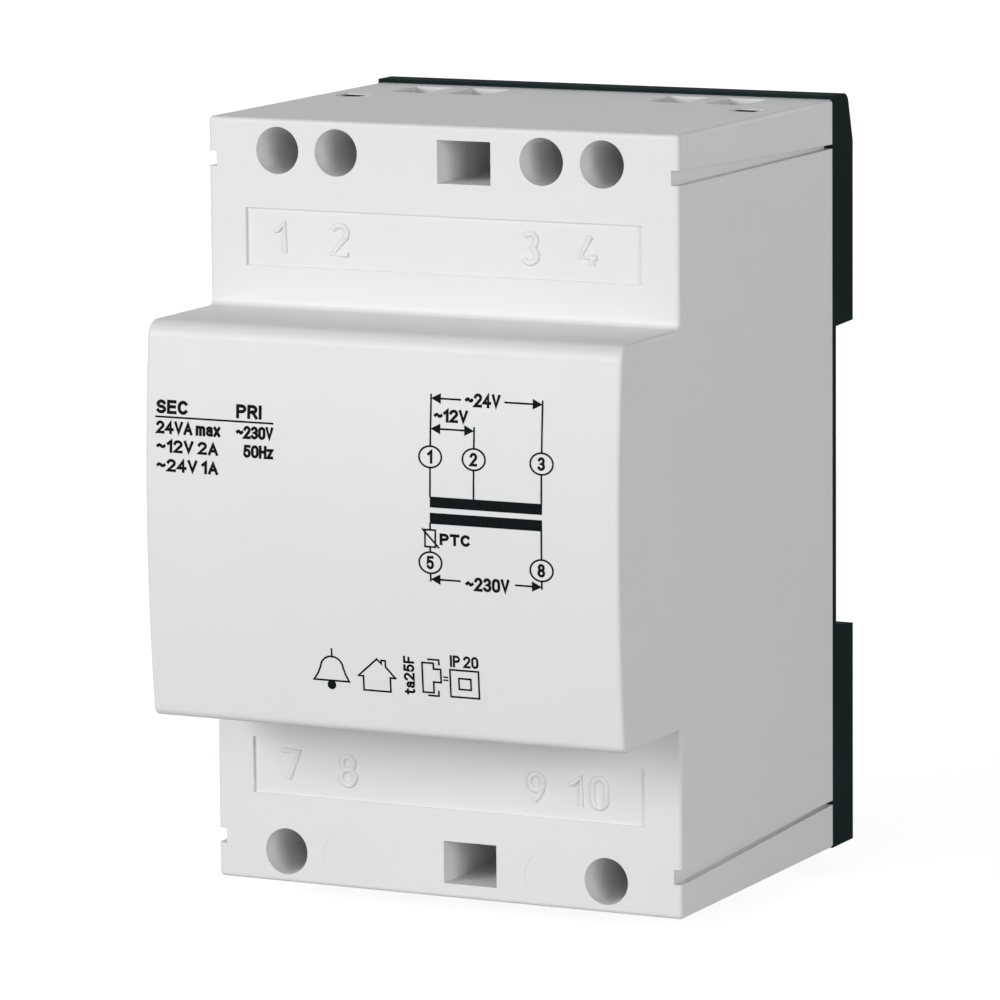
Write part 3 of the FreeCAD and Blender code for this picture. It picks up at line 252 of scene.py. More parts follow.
def wound_copper():
    """Layers of enamelled wire: rounded turns, a little uneven, under clear enamel, with painted
    shade darkening the grooves between the turns.
    """
    material, tree, shader = new_material("winding_copper")
    place = place_in_mm(tree)
    turns = bands(tree, place, "Z", pitch=0.36, distortion=0.25)
    # Painted shade: the copper darkens to near black in the grooves between turns and is lightest
    # on the crests
    stops = [
        (0.0, (0.12, 0.03, 0.01)),
        (0.4, (0.55, 0.19, 0.07)),
        (1.0, (0.80, 0.36, 0.17)),
    ]
    tree.links.new(ramp(tree, turns, stops), shader.inputs["Base Color"])
    gloss = noise(tree, place, scale=0.8)
    tree.links.new(spread(tree, gloss, 0.2, 0.36), shader.inputs["Roughness"])
    tree.links.new(bump(tree, turns, 0.12), shader.inputs["Normal"])
    shader.inputs["Metallic"].default_value = 0.9
    shader.inputs["Coat Weight"].default_value = 0.6
    shader.inputs["Coat Roughness"].default_value = 0.1
    return material


def coil_tape():
    """Polyester tape: glossy, wrinkled a little, with the laps showing as darker bands."""
    material, tree, shader = new_material("tape_yellow")
    place = place_in_mm(tree)
    laps = bands(tree, place, "Z", pitch=4.2, distortion=0.6)
    stops = [(0.0, (0.55, 0.36, 0.04)), (0.3, (0.74, 0.52, 0.07)), (1.0, (0.82, 0.60, 0.10))]
    tree.links.new(ramp(tree, laps, stops), shader.inputs["Base Color"])
    wrinkles = noise(tree, place_in_mm(tree, (0.3, 0.3, 1.0)), scale=0.9, detail=3.0)
    tree.links.new(spread(tree, wrinkles, 0.18, 0.32), shader.inputs["Roughness"])
    tree.links.new(bump(tree, wrinkles, 0.06), shader.inputs["Normal"])
    return material


def printing_ink():
    """Black pad-printed ink: dense, slightly uneven."""
    material, tree, shader = new_material("printing_ink")
    place = place_in_mm(tree)
    density = noise(tree, place, scale=2.5, detail=4.0)
    stops = [(0.35, (0.003, 0.005, 0.006)), (0.75, (0.008, 0.011, 0.012))]
    tree.links.new(ramp(tree, density, stops), shader.inputs["Base Color"])
    tree.links.new(spread(tree, density, 0.5, 0.62), shader.inputs["Roughness"])
    tree.links.new(bump(tree, density, 0.003), shader.inputs["Normal"])
    shader.inputs["Specular IOR Level"].default_value = 0.03
    return material


def pale_floor():
    """A pale floor that looks white to the camera and still takes the object's shadow."""
    material, tree, shader = new_material("pale_floor")
    tree.nodes.remove(shader)
    output = next(node for node in tree.nodes if node.type == "OUTPUT_MATERIAL")
    surface = tree.nodes.new("ShaderNodeBsdfDiffuse")
    mottle = noise(tree, place_in_mm(tree), scale=0.02)
    tone = ramp(tree, mottle, [(NOISE_LOW, (0.52, 0.52, 0.52)), (NOISE_HIGH, (0.54, 0.54, 0.54))])
    tree.links.new(tone, surface.inputs["Color"])
    glow = tree.nodes.new("ShaderNodeEmission")
    glow.inputs["Color"].default_value = (1.0, 1.0, 1.0, 1.0)
    tree.links.new(seen_directly(tree, FLOOR_GLOW), glow.inputs["Strength"])
    both = tree.nodes.new("ShaderNodeAddShader")
    tree.links.new(surface.outputs["BSDF"], both.inputs[0])
    tree.links.new(glow.outputs["Emission"], both.inputs[1])
    tree.links.new(both.outputs["Shader"], output.inputs["Surface"])
    return material


def seen_directly(tree, strength, otherwise=0.0):
    """A strength for camera, glossy and transmission rays, and another for the rest."""
    rays = tree.nodes.new("ShaderNodeLightPath")
    total = rays.outputs["Is Camera Ray"]
    for name in ("Is Glossy Ray", "Is Transmission Ray"):
        most = tree.nodes.new("ShaderNodeMath")
        most.operation = "MAXIMUM"
        tree.links.new(total, most.inputs[0])
        tree.links.new(rays.outputs[name], most.inputs[1])
        total = most.outputs["Value"]
    mapped = tree.nodes.new("ShaderNodeMapRange")
    mapped.inputs["To Min"].default_value = otherwise
    mapped.inputs["To Max"].default_value = strength
    tree.links.new(total, mapped.inputs["Value"])
    return mapped.outputs["Result"]


# Printing on the bowed front


def front_depth(z):
    """How far in front of the rail the raised face lies at a height."""
    flat = math.sqrt(FRONT_CURVE**2 - RAISED_HALF**2)
    return FRONT_DEPTH + math.sqrt(FRONT_CURVE**2 - z**2) - flat


def on_front(x, z, proud):
    """A point on the raised face, or a little in front of it, in metres."""
    return Vector((x, -(front_depth(z) + proud), z)) * MM


def make_piece(name, mesh, material):
    """An object from a mesh, with its material, riding on the case's body."""
    piece = bpy.data.objects.new(name, mesh)
    bpy.context.scene.collection.objects.link(piece)
    mesh.materials.clear()
    mesh.materials.append(material)
    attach(piece, "root")
    return piece


def arc_points(centre, radii, start, end, steps):
    """Points along an arc, which may be wider than high, its angles in degrees."""
    points = []
    for step in range(steps + 1):
        angle = math.radians(start + (end - start) * step / steps)
        x, z = radii[0] * math.cos(angle), radii[1] * math.sin(angle)
        points.append((centre[0] + x, centre[1] + z))
    return points


def circle_points(centre, radii, count):
    """Points all round, with the first one not repeated."""
    return arc_points(centre, radii, 0, 360, count)[:-1]


def rectangle(x_low, x_high, low, high):
    """The corners of an upright rectangle."""
    return [(x_low, low), (x_high, low), (x_high, high), (x_low, high)]


def open_loop(points):
    """The points without a repeated last one, and whether they make a loop."""
    closed = math.dist(points[0], points[-1]) < LOOP_GAP
    return (points[:-1] if closed else points), closed


def add_prism(mesh, outline):
    """A thin closed slab of ink over an outline on the front."""
    front = [mesh.verts.new(on_front(x, z, INK_PROUD)) for x, z in outline]
    back = [mesh.verts.new(on_front(x, z, -INK_BEHIND)) for x, z in outline]
    mesh.faces.new(front)
    mesh.faces.new(back[::-1])
    count = len(outline)
    for index in range(count):
        after = (index + 1) % count
        mesh.faces.new((front[after], front[index], back[index], back[after]))


def closer(points, step):
    """The same path with points no further apart than a step."""
    result = [Vector(points[0])]
    for start, end in zip(points, points[1:]):
        start, end = Vector(start), Vector(end)
        count = max(1, math.ceil((end - start).length / step))
        result += [start + (end - start) * index / count for index in range(1, count + 1)]
    return result


def add_stroke(mesh, points, width, closed=False):
    """A printed line through points, with mitred corners."""
    if closed:
        points = list(points) + [points[0]]
    path = closer(points, LONGEST_STEP)
    if closed:
        path.pop()
    count = len(path)
    sides = ([], [])
    for index, point in enumerate(path):
        before = path[index - 1] if index or closed else None
        after = path[(index + 1) % count] if index < count - 1 or closed else None
        ways = []
        if before is not None:
            ways.append((point - before).normalized())
        if after is not None:
            ways.append((after - point).normalized())
        aside = sum((Vector((-way.y, way.x)) for way in ways), Vector((0.0, 0.0))).normalized()
        share = max(SHARPEST_MITRE, aside.dot(Vector((-ways[0].y, ways[0].x))))
        over = Vector((0.0, 0.0)) if len(ways) == 2 else ways[0] * width / 2
        if before is None:
            over = -over
        reach = aside * width / 2 / share
        sides[0].append(tuple(point + over + reach))
        sides[1].append(tuple(point + over - reach))
    add_ribbon(mesh, *sides, closed)


def add_ribbon(mesh, left, right, closed):
    """A thin closed slab between two rows of points on the front."""
    edges = ((left, INK_PROUD), (right, INK_PROUD), (right, -INK_BEHIND), (left, -INK_BEHIND))
    rows = [[mesh.verts.new(on_front(x, z, proud)) for x, z in side] for side, proud in edges]
    count = len(left)
    for index in range(count if closed else count - 1):
        after = (index + 1) % count
        for row, following in zip(rows, rows[1:] + rows[:1]):
            mesh.faces.new((row[index], row[after], following[after], following[index]))
    if not closed:
        for index in (0, count - 1):
            mesh.faces.new([row[index] for row in rows])


def add_ring(mesh, centre, radii, width):
    """A printed ring, a little wider than high."""
    add_stroke(mesh, circle_points(centre, radii, RING_POINTS), width, closed=True)


def add_disc(mesh, centre, radius):
    """A printed filled circle."""
    add_prism(mesh, circle_points(centre, (radius, radius), DISC_POINTS))


def add_arrow(mesh, z, x_low, x_high, *gap):
    """A dimension line with a filled head at each end, and a gap for its words if one is given."""
    for tip, way in ((x_low, 1), (x_high, -1)):
        back = tip + ARROW_LENGTH * way
        add_prism(mesh, [(tip, z), (back, z - ARROW_HALF * way), (back, z + ARROW_HALF * way)])
    inset = ARROW_LENGTH * SHAFT_START
    ends = [x_low + inset, *gap, x_high - inset]
    for start, end in zip(ends[::2], ends[1::2]):
        add_stroke(mesh, [(start, z), (end, z)], FINE_LINE)


def glyphs():
    """Strokes of the printed letters and figures, each in a box one high."""
    wave = [(0.5 * step / 8, 0.5 + 0.1 * math.sin(math.tau * step / 8)) for step in range(9)]
    bowl = arc_points((0.28, 0.74), (0.24, 0.26), 90, -90, 8)
    three = arc_points((0.25, 0.75), (0.23, 0.25), 155, -90, 10)
    three += arc_points((0.25, 0.26), (0.26, 0.26), 90, -155, 10)[1:]
    zero = arc_points((0.25, 0.72), (0.25, 0.28), 0, 180, 8)
    zero += arc_points((0.25, 0.28), (0.25, 0.28), 180, 360, 8)
    return {
        "0": [zero + [zero[0]]],
        "1": [[(0.0, 0.76), (0.22, 1.0), (0.22, 0.0)]],
        "2": [arc_points((0.25, 0.73), (0.25, 0.27), 165, -32, 10) + [(0.0, 0.0), (0.5, 0.0)]],
        "3": [three],
        "4": [[(0.38, 0.0), (0.38, 1.0), (0.0, 0.3), (0.54, 0.3)]],
        "5": [
            [(0.46, 1.0), (0.08, 1.0), (0.03, 0.52)]
            + arc_points((0.25, 0.32), (0.25, 0.32), 120, -150, 10)
        ],
        "8": [
            arc_points((0.25, 0.76), (0.22, 0.24), 0, 360, 16),
            arc_points((0.25, 0.26), (0.25, 0.26), 0, 360, 16),
        ],
        "A": [[(0.0, 0.0), (0.28, 0.93), (0.56, 0.0)], [(0.1, 0.3), (0.46, 0.3)]],
        "C": [arc_points((0.3, 0.5), (0.3, 0.5), 45, 315, 14)],
        "E": [[(0.48, 1.0), (0.0, 1.0), (0.0, 0.0), (0.5, 0.0)], [(0.0, 0.53), (0.44, 0.53)]],
        "F": [[(0.46, 1.0), (0.0, 1.0), (0.0, 0.0)], [(0.0, 0.5), (0.4, 0.5)]],
        "H": [[(0.0, 0.0), (0.0, 1.0)], [(0.5, 0.0), (0.5, 1.0)], [(0.0, 0.52), (0.5, 0.52)]],
        "I": [[(0.0, 0.0), (0.0, 1.0)]],
        "P": [[(0.0, 0.0), (0.0, 1.0)] + bowl + [(0.0, 0.48)]],
        "R": [[(0.0, 0.0), (0.0, 1.0)] + bowl + [(0.0, 0.48)], [(0.28, 0.48), (0.54, 0.0)]],
        "S": [
            arc_points((0.26, 0.75), (0.24, 0.25), 25, 270, 10)
            + arc_points((0.26, 0.26), (0.26, 0.25), 85, -155, 10)
        ],
        "T": [[(0.0, 1.0), (0.54, 1.0)], [(0.27, 1.0), (0.27, 0.0)]],
        "V": [[(0.0, 1.0), (0.27, 0.07), (0.54, 1.0)]],
        "a": [
            arc_points((0.2, 0.54), (0.18, 0.18), 165, 0, 6) + [(0.38, 0.0)],
            arc_points((0.19, 0.2), (0.19, 0.2), 0, 360, 12),
        ],
        "m": [
            [(0.0, 0.0), (0.0, 0.72)],
            [(0.0, 0.5)] + arc_points((0.16, 0.56), (0.15, 0.16), 150, 0, 6) + [(0.31, 0.0)],
            [(0.31, 0.5)] + arc_points((0.47, 0.56), (0.15, 0.16), 150, 0, 6) + [(0.62, 0.0)],
        ],
        "t": [[(0.14, 0.95), (0.14, 0.12), (0.2, 0.0), (0.32, 0.0)], [(0.0, 0.72), (0.32, 0.72)]],
        "x": [[(0.0, 0.0), (0.38, 0.72)], [(0.0, 0.72), (0.38, 0.0)]],
        "z": [[(0.0, 0.72), (0.38, 0.72), (0.0, 0.0), (0.38, 0.0)]],
        "~": [wave],
    }


def add_words(mesh, text, x_low, x_high, baseline, cap, pen=WORD_PEN, turned=False):
    """Words fitted between two places on the front, with their capitals' height given."""
    shapes = glyphs()
    runs = []
    along = 0.0
    for letter in text:
        if letter == " ":
            along += WORD_SPACE
            continue
        strokes = shapes[letter]
        runs += [[(along + x, y) for x, y in stroke] for stroke in strokes]
        along += max(x for stroke in strokes for x, y in stroke) + LETTER_SPACE
    across = (x_high - x_low - pen) / (along - LETTER_SPACE)
    for run in runs:
        placed = []
        for x, y in run:
            right = x_low + pen / 2 + x * across
            up = pen / 2 + y * (cap - pen)
            placed.append((baseline - up, right) if turned else (right, baseline + up))
        points, closed = open_loop(placed)
        add_stroke(mesh, points, pen, closed)


def finish_mesh(name, mesh):
    """A plain mesh from the built one, with every face turned outwards."""
    bmesh.ops.remove_doubles(mesh, verts=mesh.verts, dist=1e-7)
    bmesh.ops.recalc_face_normals(mesh, faces=mesh.faces)
    result = bpy.data.meshes.new(name)
    mesh.to_mesh(result)
    mesh.free()
    return result


# Ratings: words, left, right, baseline and height of the capitals
RATINGS = [
    ("SEC", -28.55, -24.5, 12.4, 1.62, HEADING_PEN),
    ("PRI", -18.18, -14.9, 12.4, 1.62, HEADING_PEN),
    ("24VA max", -28.53, -20.21, 10.1, 1.5),
    ("~230V", -18.18, -13.39, 10.1, 1.5),
    ("~12V 2A", -28.48, -20.48, 7.95, 1.5),
    ("50Hz", -17.23, -13.37, 7.95, 1.5),
    ("~24V 1A", -28.48, -20.48, 5.75, 1.5),
]
RATINGS_LINE = [(-28.55, 12.04), (-13.48, 12.04)]

# Wiring diagram: the columns and rows of its circled terminals
LEFT, TAP, RIGHT = 6.55, 12.0, 20.42
UPPER_ROW, LOWER_ROW = 9.43, -2.59
CIRCLED = [
    ("1", LEFT, UPPER_ROW), ("2", TAP, UPPER_ROW), ("3", RIGHT, UPPER_ROW),
    ("5", LEFT, LOWER_ROW), ("8", RIGHT, LOWER_ROW),
]
CIRCLE_HALF = 1.41
CIRCLE_RISE = 1.21
DIGIT_HALF = 0.47
NARROW_DIGIT_HALF = 0.32
DIGIT_SHIFT = 0.04
DIGIT_CAP = 1.54
# Windings: both bars' ends, and each bar's lower and upper edge
BAR_ENDS = (LEFT - 0.02, RIGHT + 0.1)
SECONDARY_BAR = (3.71, 4.94)
PRIMARY_BAR = (1.85, 3.11)
# Overheating protection: left, right, lower and upper edge of its box, and the line across it
PROTECTION_BOX = (5.9, 7.2, -0.78, 1.15)
PROTECTION_SLASH = [(5.6, 1.2), (7.6, -0.8)]
# Dimension lines: height, ends and the gap for words, and where the wires beside them end
ARROW_LENGTH = 1.22
ARROW_HALF = 0.6
SHAFT_START = 0.8
ARROWS = [
    (16.05, LEFT, RIGHT, 10.2, 15.8),
    (12.63, LEFT, TAP),
    (-4.46, LEFT, RIGHT, 10.2, 17.2),
]
WIRE_TOPS = [(LEFT, 16.42), (TAP, 12.98), (RIGHT, 16.42)]
WIRE_FOOT = -4.65
DIAGRAM_WORDS = [
    ("~24V", 10.8, 15.2, 15.3, 1.58),
    ("~12V", 6.95, 11.2, 13.4, 1.5),
    ("PTC", 7.74, 11.5, -0.5, 1.34),
    ("~230V", 10.9, 16.4, -5.49, 1.6),
]

# Pictograms: a bell, a house, a safety transformer and the two squares of double insulation
BELL_CROWN = arc_points((-6.4, -15.7), (1.45, 1.4), 175, 5, 12)
BELL = [(-8.74, -17.13), (-8.2, -16.35)] + BELL_CROWN + [(-4.68, -16.35), (-4.24, -17.13)]
BELL_STEM = [(-6.35, -14.35), (-6.35, -13.45)]
CLAPPER = ((-6.5, -17.62), 0.55)
ROOF = [(-2.4, -16.28), (-3.03, -16.28), (-0.62, -14.2), (-0.07, -14.72), (-0.07, -14.33)]
CHIMNEY = [(-0.07, -14.33), (0.46, -14.33), (0.46, -15.05), (1.68, -16.3)]
WALLS = [(1.68, -16.3), (1.02, -16.3), (1.02, -17.92), (-2.4, -17.92), (-2.4, -16.28)]
SAFETY_TRANSFORMER = [
    (5.12, -14.17), (6.55, -14.17), (6.55, -14.83), (7.45, -14.83),
    (7.45, -16.35), (6.5, -16.35), (6.5, -17.6), (5.12, -17.6),
]
UPPER_BRACKET = [(5.9, -13.75), (7.25, -13.75), (7.25, -14.25)]
LOWER_BRACKET = [(5.85, -17.95), (7.1, -17.95), (7.1, -17.42)]
DASHES = [[(7.82, -15.68), (8.28, -15.68)], [(7.82, -16.03), (8.28, -16.03)]]
OUTER_SQUARE = rectangle(8.62, 12.2, -17.88, -14.76)
INNER_SQUARE = rectangle(9.7, 11.2, -16.96, -15.71)


def print_ratings():
    """The rated values, in two columns under one line."""
    mesh = bmesh.new()
    for entry in RATINGS:
        add_words(mesh, *entry)
    add_stroke(mesh, RATINGS_LINE, FINE_LINE)
    return finish_mesh("printed_ratings", mesh)


def add_wire(mesh, x, start, end):
    """An upright line of the wiring diagram."""
    add_stroke(mesh, [(x, start), (x, end)], FINE_LINE)


def print_diagram():
    """The wiring diagram: two windings, their terminals, voltages and protection."""
    mesh = bmesh.new()
    for bar in (SECONDARY_BAR, PRIMARY_BAR):
        add_prism(mesh, rectangle(*BAR_ENDS, *bar))
    for text, x, z in CIRCLED:
        add_ring(mesh, (x, z), (CIRCLE_HALF, CIRCLE_RISE), FINE_LINE)
        half = NARROW_DIGIT_HALF if text == "1" else DIGIT_HALF
        left, right = x - half - DIGIT_SHIFT, x + half - DIGIT_SHIFT
        add_words(mesh, text, left, right, z - DIGIT_CAP / 2, DIGIT_CAP, DIGIT_PEN)
    for x, top in WIRE_TOPS:
        add_wire(mesh, x, top, UPPER_ROW + CIRCLE_RISE)
        add_wire(mesh, x, UPPER_ROW - CIRCLE_RISE, SECONDARY_BAR[1])
    x_low, x_high, low, high = PROTECTION_BOX
    add_wire(mesh, LEFT, PRIMARY_BAR[0], high)
    add_wire(mesh, LEFT, low, LOWER_ROW + CIRCLE_RISE)
    add_wire(mesh, RIGHT, PRIMARY_BAR[0], LOWER_ROW + CIRCLE_RISE)
    for x in (LEFT, RIGHT):
        add_wire(mesh, x, LOWER_ROW - CIRCLE_RISE, WIRE_FOOT)
    add_stroke(mesh, rectangle(x_low, x_high, low, high), FINE_LINE, closed=True)
    add_stroke(mesh, PROTECTION_SLASH, FINE_LINE)
    for entry in ARROWS:
        add_arrow(mesh, *entry)
    for entry in DIAGRAM_WORDS:
        add_words(mesh, *entry)
    return finish_mesh("printed_diagram", mesh)


def print_symbols():
    """Plain pictograms, with the degree of protection and the temperature beside them."""
    mesh = bmesh.new()
    for outline in (BELL, SAFETY_TRANSFORMER, OUTER_SQUARE, INNER_SQUARE):
        add_stroke(mesh, outline, FINE_LINE, closed=True)
    for line in (BELL_STEM, ROOF, CHIMNEY, WALLS, UPPER_BRACKET, LOWER_BRACKET):
        add_stroke(mesh, line, FINE_LINE)
    for line in DASHES:
        add_stroke(mesh, line, FAINT_LINE)
    add_disc(mesh, *CLAPPER)
    add_words(mesh, "IP 20", 8.66, 12.24, -14.44, 1.38, pen=SMALL_PEN)
    add_words(mesh, "ta25F", -18.03, -13.56, 4.12, 1.38, pen=SMALL_PEN, turned=True)
    return finish_mesh("printed_symbols", mesh)


# Raised numerals in the marking fields


def digit_strokes():
    """Strokes of the raised digits, each in a box one high."""
    top_two = arc_points((0.3, 0.73), (0.28, 0.27), 165, -35, 10)
    three = arc_points((0.26, 0.75), (0.23, 0.25), 150, -90, 10)
    three += arc_points((0.26, 0.25), (0.26, 0.25), 90, -155, 12)[1:]
    return {
        "1": [[(-0.02, 0.76), (0.08, 0.77), (0.34, 1.0), (0.34, 0.0)]],
        "2": [top_two + [(0.02, 0.0), (0.62, 0.0)]],
        "3": [three],
        "4": [[(0.44, 1.0), (0.06, 0.28), (0.66, 0.28)], [(0.5, 0.4), (0.5, 0.0)]],
        "7": [[(0.0, 1.0), (0.6, 1.0), (0.2, 0.0)]],
        "8": [
            arc_points((0.27, 0.76), (0.22, 0.24), 0, 360, 20),
            arc_points((0.27, 0.27), (0.27, 0.27), 0, 360, 20),
        ],
        "9": [
            arc_points((0.27, 0.72), (0.26, 0.28), 0, 360, 20),
            arc_points((-0.07, 0.72), (0.6, 0.72), 0, -62, 10),
        ],
        "0": [
            arc_points((0.27, 0.73), (0.26, 0.27), 0, 180, 12)
            + arc_points((0.27, 0.27), (0.26, 0.27), 180, 360, 12)
            + [(0.53, 0.73)],
        ],
    }


# Numerals: their height, half the width of a stroke, how far it rises from the field's floor,
# and for each digit its left edge and the height of its middle
NUMERAL_HEIGHT = 3.4
NUMERAL_STROKE = 0.36
NUMERAL_RISE = 0.28
NUMERALS = [
    ("1", -21.5, 31.1), ("2", -14.2, 31.2), ("3", 10.3, 31.35), ("4", 17.3, 31.35),
    ("7", -21.4, -31.0), ("8", -13.85, -31.1), ("9", 10.5, -31.2),
    ("1", 15.95, -31.15), ("0", 18.55, -31.15),
]


def raised_numerals():
    """Moulded numerals: round-topped strokes that stand on the field's floor."""
    strokes = digit_strokes()
    curve = bpy.data.curves.new("numerals", "CURVE")
    curve.dimensions = "3D"
    curve.bevel_depth = NUMERAL_STROKE
    curve.bevel_resolution = 3
    curve.use_fill_caps = True
    for digit, left, middle in NUMERALS:
        for stroke in strokes[digit]:
            points, closed = open_loop(stroke)
            spline = curve.splines.new("POLY")
            spline.points.add(len(points) - 1)
            spline.use_cyclic_u = closed
            for point, (x, z) in zip(spline.points, points):
                across = left + x * NUMERAL_HEIGHT
                up = middle + (z - 0.5) * NUMERAL_HEIGHT
                point.co = (across, 0.0, up, 1.0)
    holder = bpy.data.objects.new("numerals", curve)
    bpy.context.scene.collection.objects.link(holder)
    graph = bpy.context.evaluated_depsgraph_get()
    mesh = bpy.data.meshes.new_from_object(holder.evaluated_get(graph))
    bpy.data.objects.remove(holder)
    bpy.data.curves.remove(curve)
    squeeze = NUMERAL_RISE / NUMERAL_STROKE
    for vertex in mesh.vertices:
        x, y, z = vertex.co
        vertex.co = Vector((x, -FIELD_FLOOR + y * squeeze, z)) * MM
    for face in mesh.polygons:
        face.use_smooth = True
    mesh.name = "raised_numerals"
    return mesh


# Latch spring

# The wire's radius, and all turns, of which one lies closed at each end
SPRING_WIRE = 0.25
SPRING_TURNS = 7.5

# Steps in one turn, and sides of the wire
SPRING_STEPS = 32
WIRE_SIDES = 10


def coil_spring(low, high):
    """A compression spring of round wire with closed end turns, that fills the given box."""
    wire = SPRING_WIRE * MM
    low, high = Vector(low), Vector(high)
    middle = (low + high) / 2
    radius = (high.x - low.x) / 2 - wire
    closed_pitch = 2 * wire
    open_turns = SPRING_TURNS - 2
    # The two closed turns and the wire's own thickness take three closed pitches
    open_pitch = (high.z - low.z - 3 * closed_pitch) / open_turns
    mesh = bmesh.new()
    rings = []
    for index in range(int(SPRING_TURNS * SPRING_STEPS) + 1):
        turn = index / SPRING_STEPS
        opened = min(max(turn - 1, 0), open_turns)
        height = wire + (turn - opened) * closed_pitch + opened * open_pitch
        outwards = Vector((math.cos(math.tau * turn), math.sin(math.tau * turn), 0))
        centre = Vector((middle.x, middle.y, low.z + height)) + outwards * radius
        ring = []
        for side in range(WIRE_SIDES):
            angle = math.tau * side / WIRE_SIDES
            offset = outwards * math.cos(angle) + Vector((0, 0, math.sin(angle)))
            ring.append(mesh.verts.new(centre + offset * wire))
        rings.append(ring)
    for ring, following in zip(rings, rings[1:]):
        for side in range(WIRE_SIDES):
            after = (side + 1) % WIRE_SIDES
            corners = (ring[side], ring[after], following[after], following[side])
            mesh.faces.new(corners).smooth = True
    mesh.faces.new(rings[0])
    mesh.faces.new(rings[-1][::-1])
    return finish_mesh("coil_spring", mesh)


def add_spring(material):
    """The spring stands on the base's boss under the latch, filling the CAD latch spring's box; the
    CAD spring is hidden.
    """
    low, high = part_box("latch_spring")
    piece = make_piece("coil_spring", coil_spring(low, high), material)
    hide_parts("latch_spring")
    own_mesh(piece)


# Scene


def add_camera():
    """The camera at the photo's angle."""
    turn, rise, roll = map(math.radians, (CAMERA_AZIMUTH, CAMERA_ELEVATION, CAMERA_ROLL))
    right = Vector((math.cos(turn), math.sin(turn), 0.0))
    back = Vector((math.sin(turn), -math.cos(turn), 0.0)) * math.cos(rise)
    back.z = math.sin(rise)
    up = back.cross(right)
    across = right * math.cos(roll) + up * math.sin(roll)
    above = up * math.cos(roll) - right * math.sin(roll)
    place = across * CAMERA_SIDE + above * CAMERA_RISE + back * CAMERA_DISTANCE
    place -= Vector((0.0, CAMERA_AIM_DEPTH, 0.0))
    data = bpy.data.cameras.new("photo_camera")
    data.sensor_width = SENSOR
    data.lens = FOCAL_PIXELS * SENSOR / IMAGE_PIXELS
    data.clip_start = 0.05
    data.clip_end = 20.0
    camera = bpy.data.objects.new("photo_camera", data)
    bpy.context.scene.collection.objects.link(camera)
    axes = Matrix((across, above, back)).transposed().to_4x4()
    camera.matrix_world = Matrix.Translation(place * MM) @ axes
    bpy.context.scene.camera = camera


# Lamps, which aim at the origin: name, place in metres, diameter in metres, power in watts
LAMPS = [
    ("key_left", (-0.75, -1.2, 0.4), 0.75, 12.8),
    ("fill_right", (1.15, -0.8, 0.2), 0.75, 8.4),
    ("back", (0.0, 1.4, 0.1), 0.6, 7.0),
]
WORLD_STRENGTH = 0.14
FLOOR_GLOW = 0.86

# Half the floor's side in metres, and its depth below the origin, clear of the lowered latch
FLOOR_HALF = 4.0
FLOOR_DROP = 48.2


def add_lamps():
    """Plain soft studio light: a large key from the front left, a fill and a weak back lamp."""
    for name, place, extent, power in LAMPS:
        data = bpy.data.lights.new(name, "AREA")
        data.shape = "DISK"
        data.size = extent
        data.energy = power
        lamp = bpy.data.objects.new(name, data)
        bpy.context.scene.collection.objects.link(lamp)
        lamp.location = place
        lamp.rotation_euler = (-Vector(place)).to_track_quat("-Z", "Y").to_euler()


def add_world():
    """An even pale surround, white to the camera."""
    world = bpy.data.worlds.new("surround")
    bpy.context.scene.world = world
    world.use_nodes = True
    tree = world.node_tree
    background = next(node for node in tree.nodes if node.type == "BACKGROUND")
    background.inputs["Color"].default_value = (1.0, 1.0, 1.0, 1.0)
    strength = seen_directly(tree, 1.0, otherwise=WORLD_STRENGTH)
    tree.links.new(strength, background.inputs["Strength"])


def add_floor():
    """The plane below the part."""
    mesh = bmesh.new()
    bmesh.ops.create_grid(mesh, x_segments=8, y_segments=8, size=FLOOR_HALF)
    result = bpy.data.meshes.new("floor")
    mesh.to_mesh(result)
    mesh.free()
    floor = bpy.data.objects.new("floor", result)
    bpy.context.scene.collection.objects.link(floor)
    floor.location = (0.0, 0.0, -FLOOR_DROP * MM)
    result.materials.append(pale_floor())


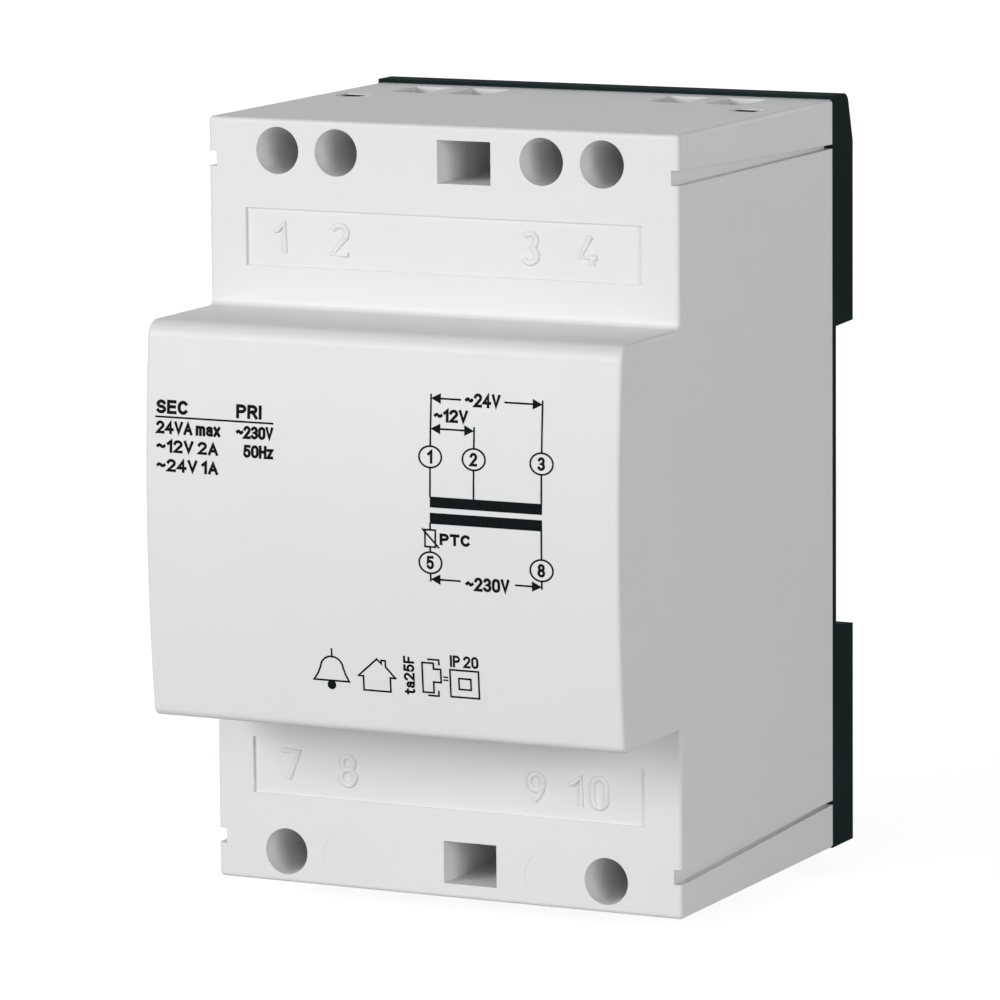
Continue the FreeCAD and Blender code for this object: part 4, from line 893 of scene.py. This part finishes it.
def slot_materials():
    """One finish for each material slot of the record."""
    return {
        "case_white": moulded("case_white", (0.80, 0.81, 0.815), 0.46, 0.006, variation=0.008),
        "base_black": moulded(
            "base_black", (0.013, 0.022, 0.023), 0.6, 0.01, variation=0.15, specular=0.004
        ),
        "latch_black": moulded(
            "latch_black", (0.016, 0.022, 0.023), 0.42, 0.004, variation=0.12, specular=0.06
        ),
        "spring_steel": metal("spring_steel", (0.52, 0.53, 0.55), 0.28, (0.4, 4.0, 4.0)),
        "core_steel": laminated(),
        "zinc_steel": metal("zinc_steel", (0.62, 0.64, 0.66), 0.34, mottle=0.2),
        "bobbin_plastic": moulded("bobbin_plastic", (0.72, 0.69, 0.58), 0.42, 0.01, variation=0.05),
        "winding_copper": wound_copper(),
        "tape_yellow": coil_tape(),
        "ptc_body": moulded(
            "ptc_body", (0.34, 0.07, 0.03), 0.24, 0.02, grain_scale=0.8, variation=0.2
        ),
        "carrier_plastic": moulded(
            "carrier_plastic", (0.36, 0.37, 0.37), 0.45, 0.01, variation=0.06
        ),
        "contact_brass": metal(
            "contact_brass", (0.74, 0.56, 0.27), 0.26, (4.0, 4.0, 0.5), mottle=0.15
        ),
        "screw_steel": metal("screw_steel", (0.60, 0.60, 0.57), 0.3, (3.0, 0.6, 3.0), mottle=0.18),
        "lead_insulation": moulded(
            "lead_insulation", (0.04, 0.07, 0.3), 0.3, 0.01, grain_scale=1.2, variation=0.15
        ),
        "tinned_wire": metal("tinned_wire", (0.66, 0.66, 0.64), 0.24, mottle=0.1),
    }


def dress_nodes(materials):
    """Give every CAD node its slot's finish."""
    for entry in frame["record"]["subparts"]:
        node = frame["nodes"][entry["node"]]
        node.data.materials.clear()
        node.data.materials.append(materials[entry["material_slot"]])


def main():
    """Dress the part, add the print, and light it as in the photo."""
    bpy.context.scene.view_settings.view_transform = "Standard"
    materials = slot_materials()
    dress_nodes(materials)
    ink = printing_ink()
    make_piece("printed_ratings", print_ratings(), ink)
    make_piece("printed_diagram", print_diagram(), ink)
    make_piece("printed_symbols", print_symbols(), ink)
    make_piece("raised_numerals", raised_numerals(), materials["case_white"])
    add_spring(materials["spring_steel"])
    add_floor()
    add_lamps()
    add_world()
    add_camera()


main()
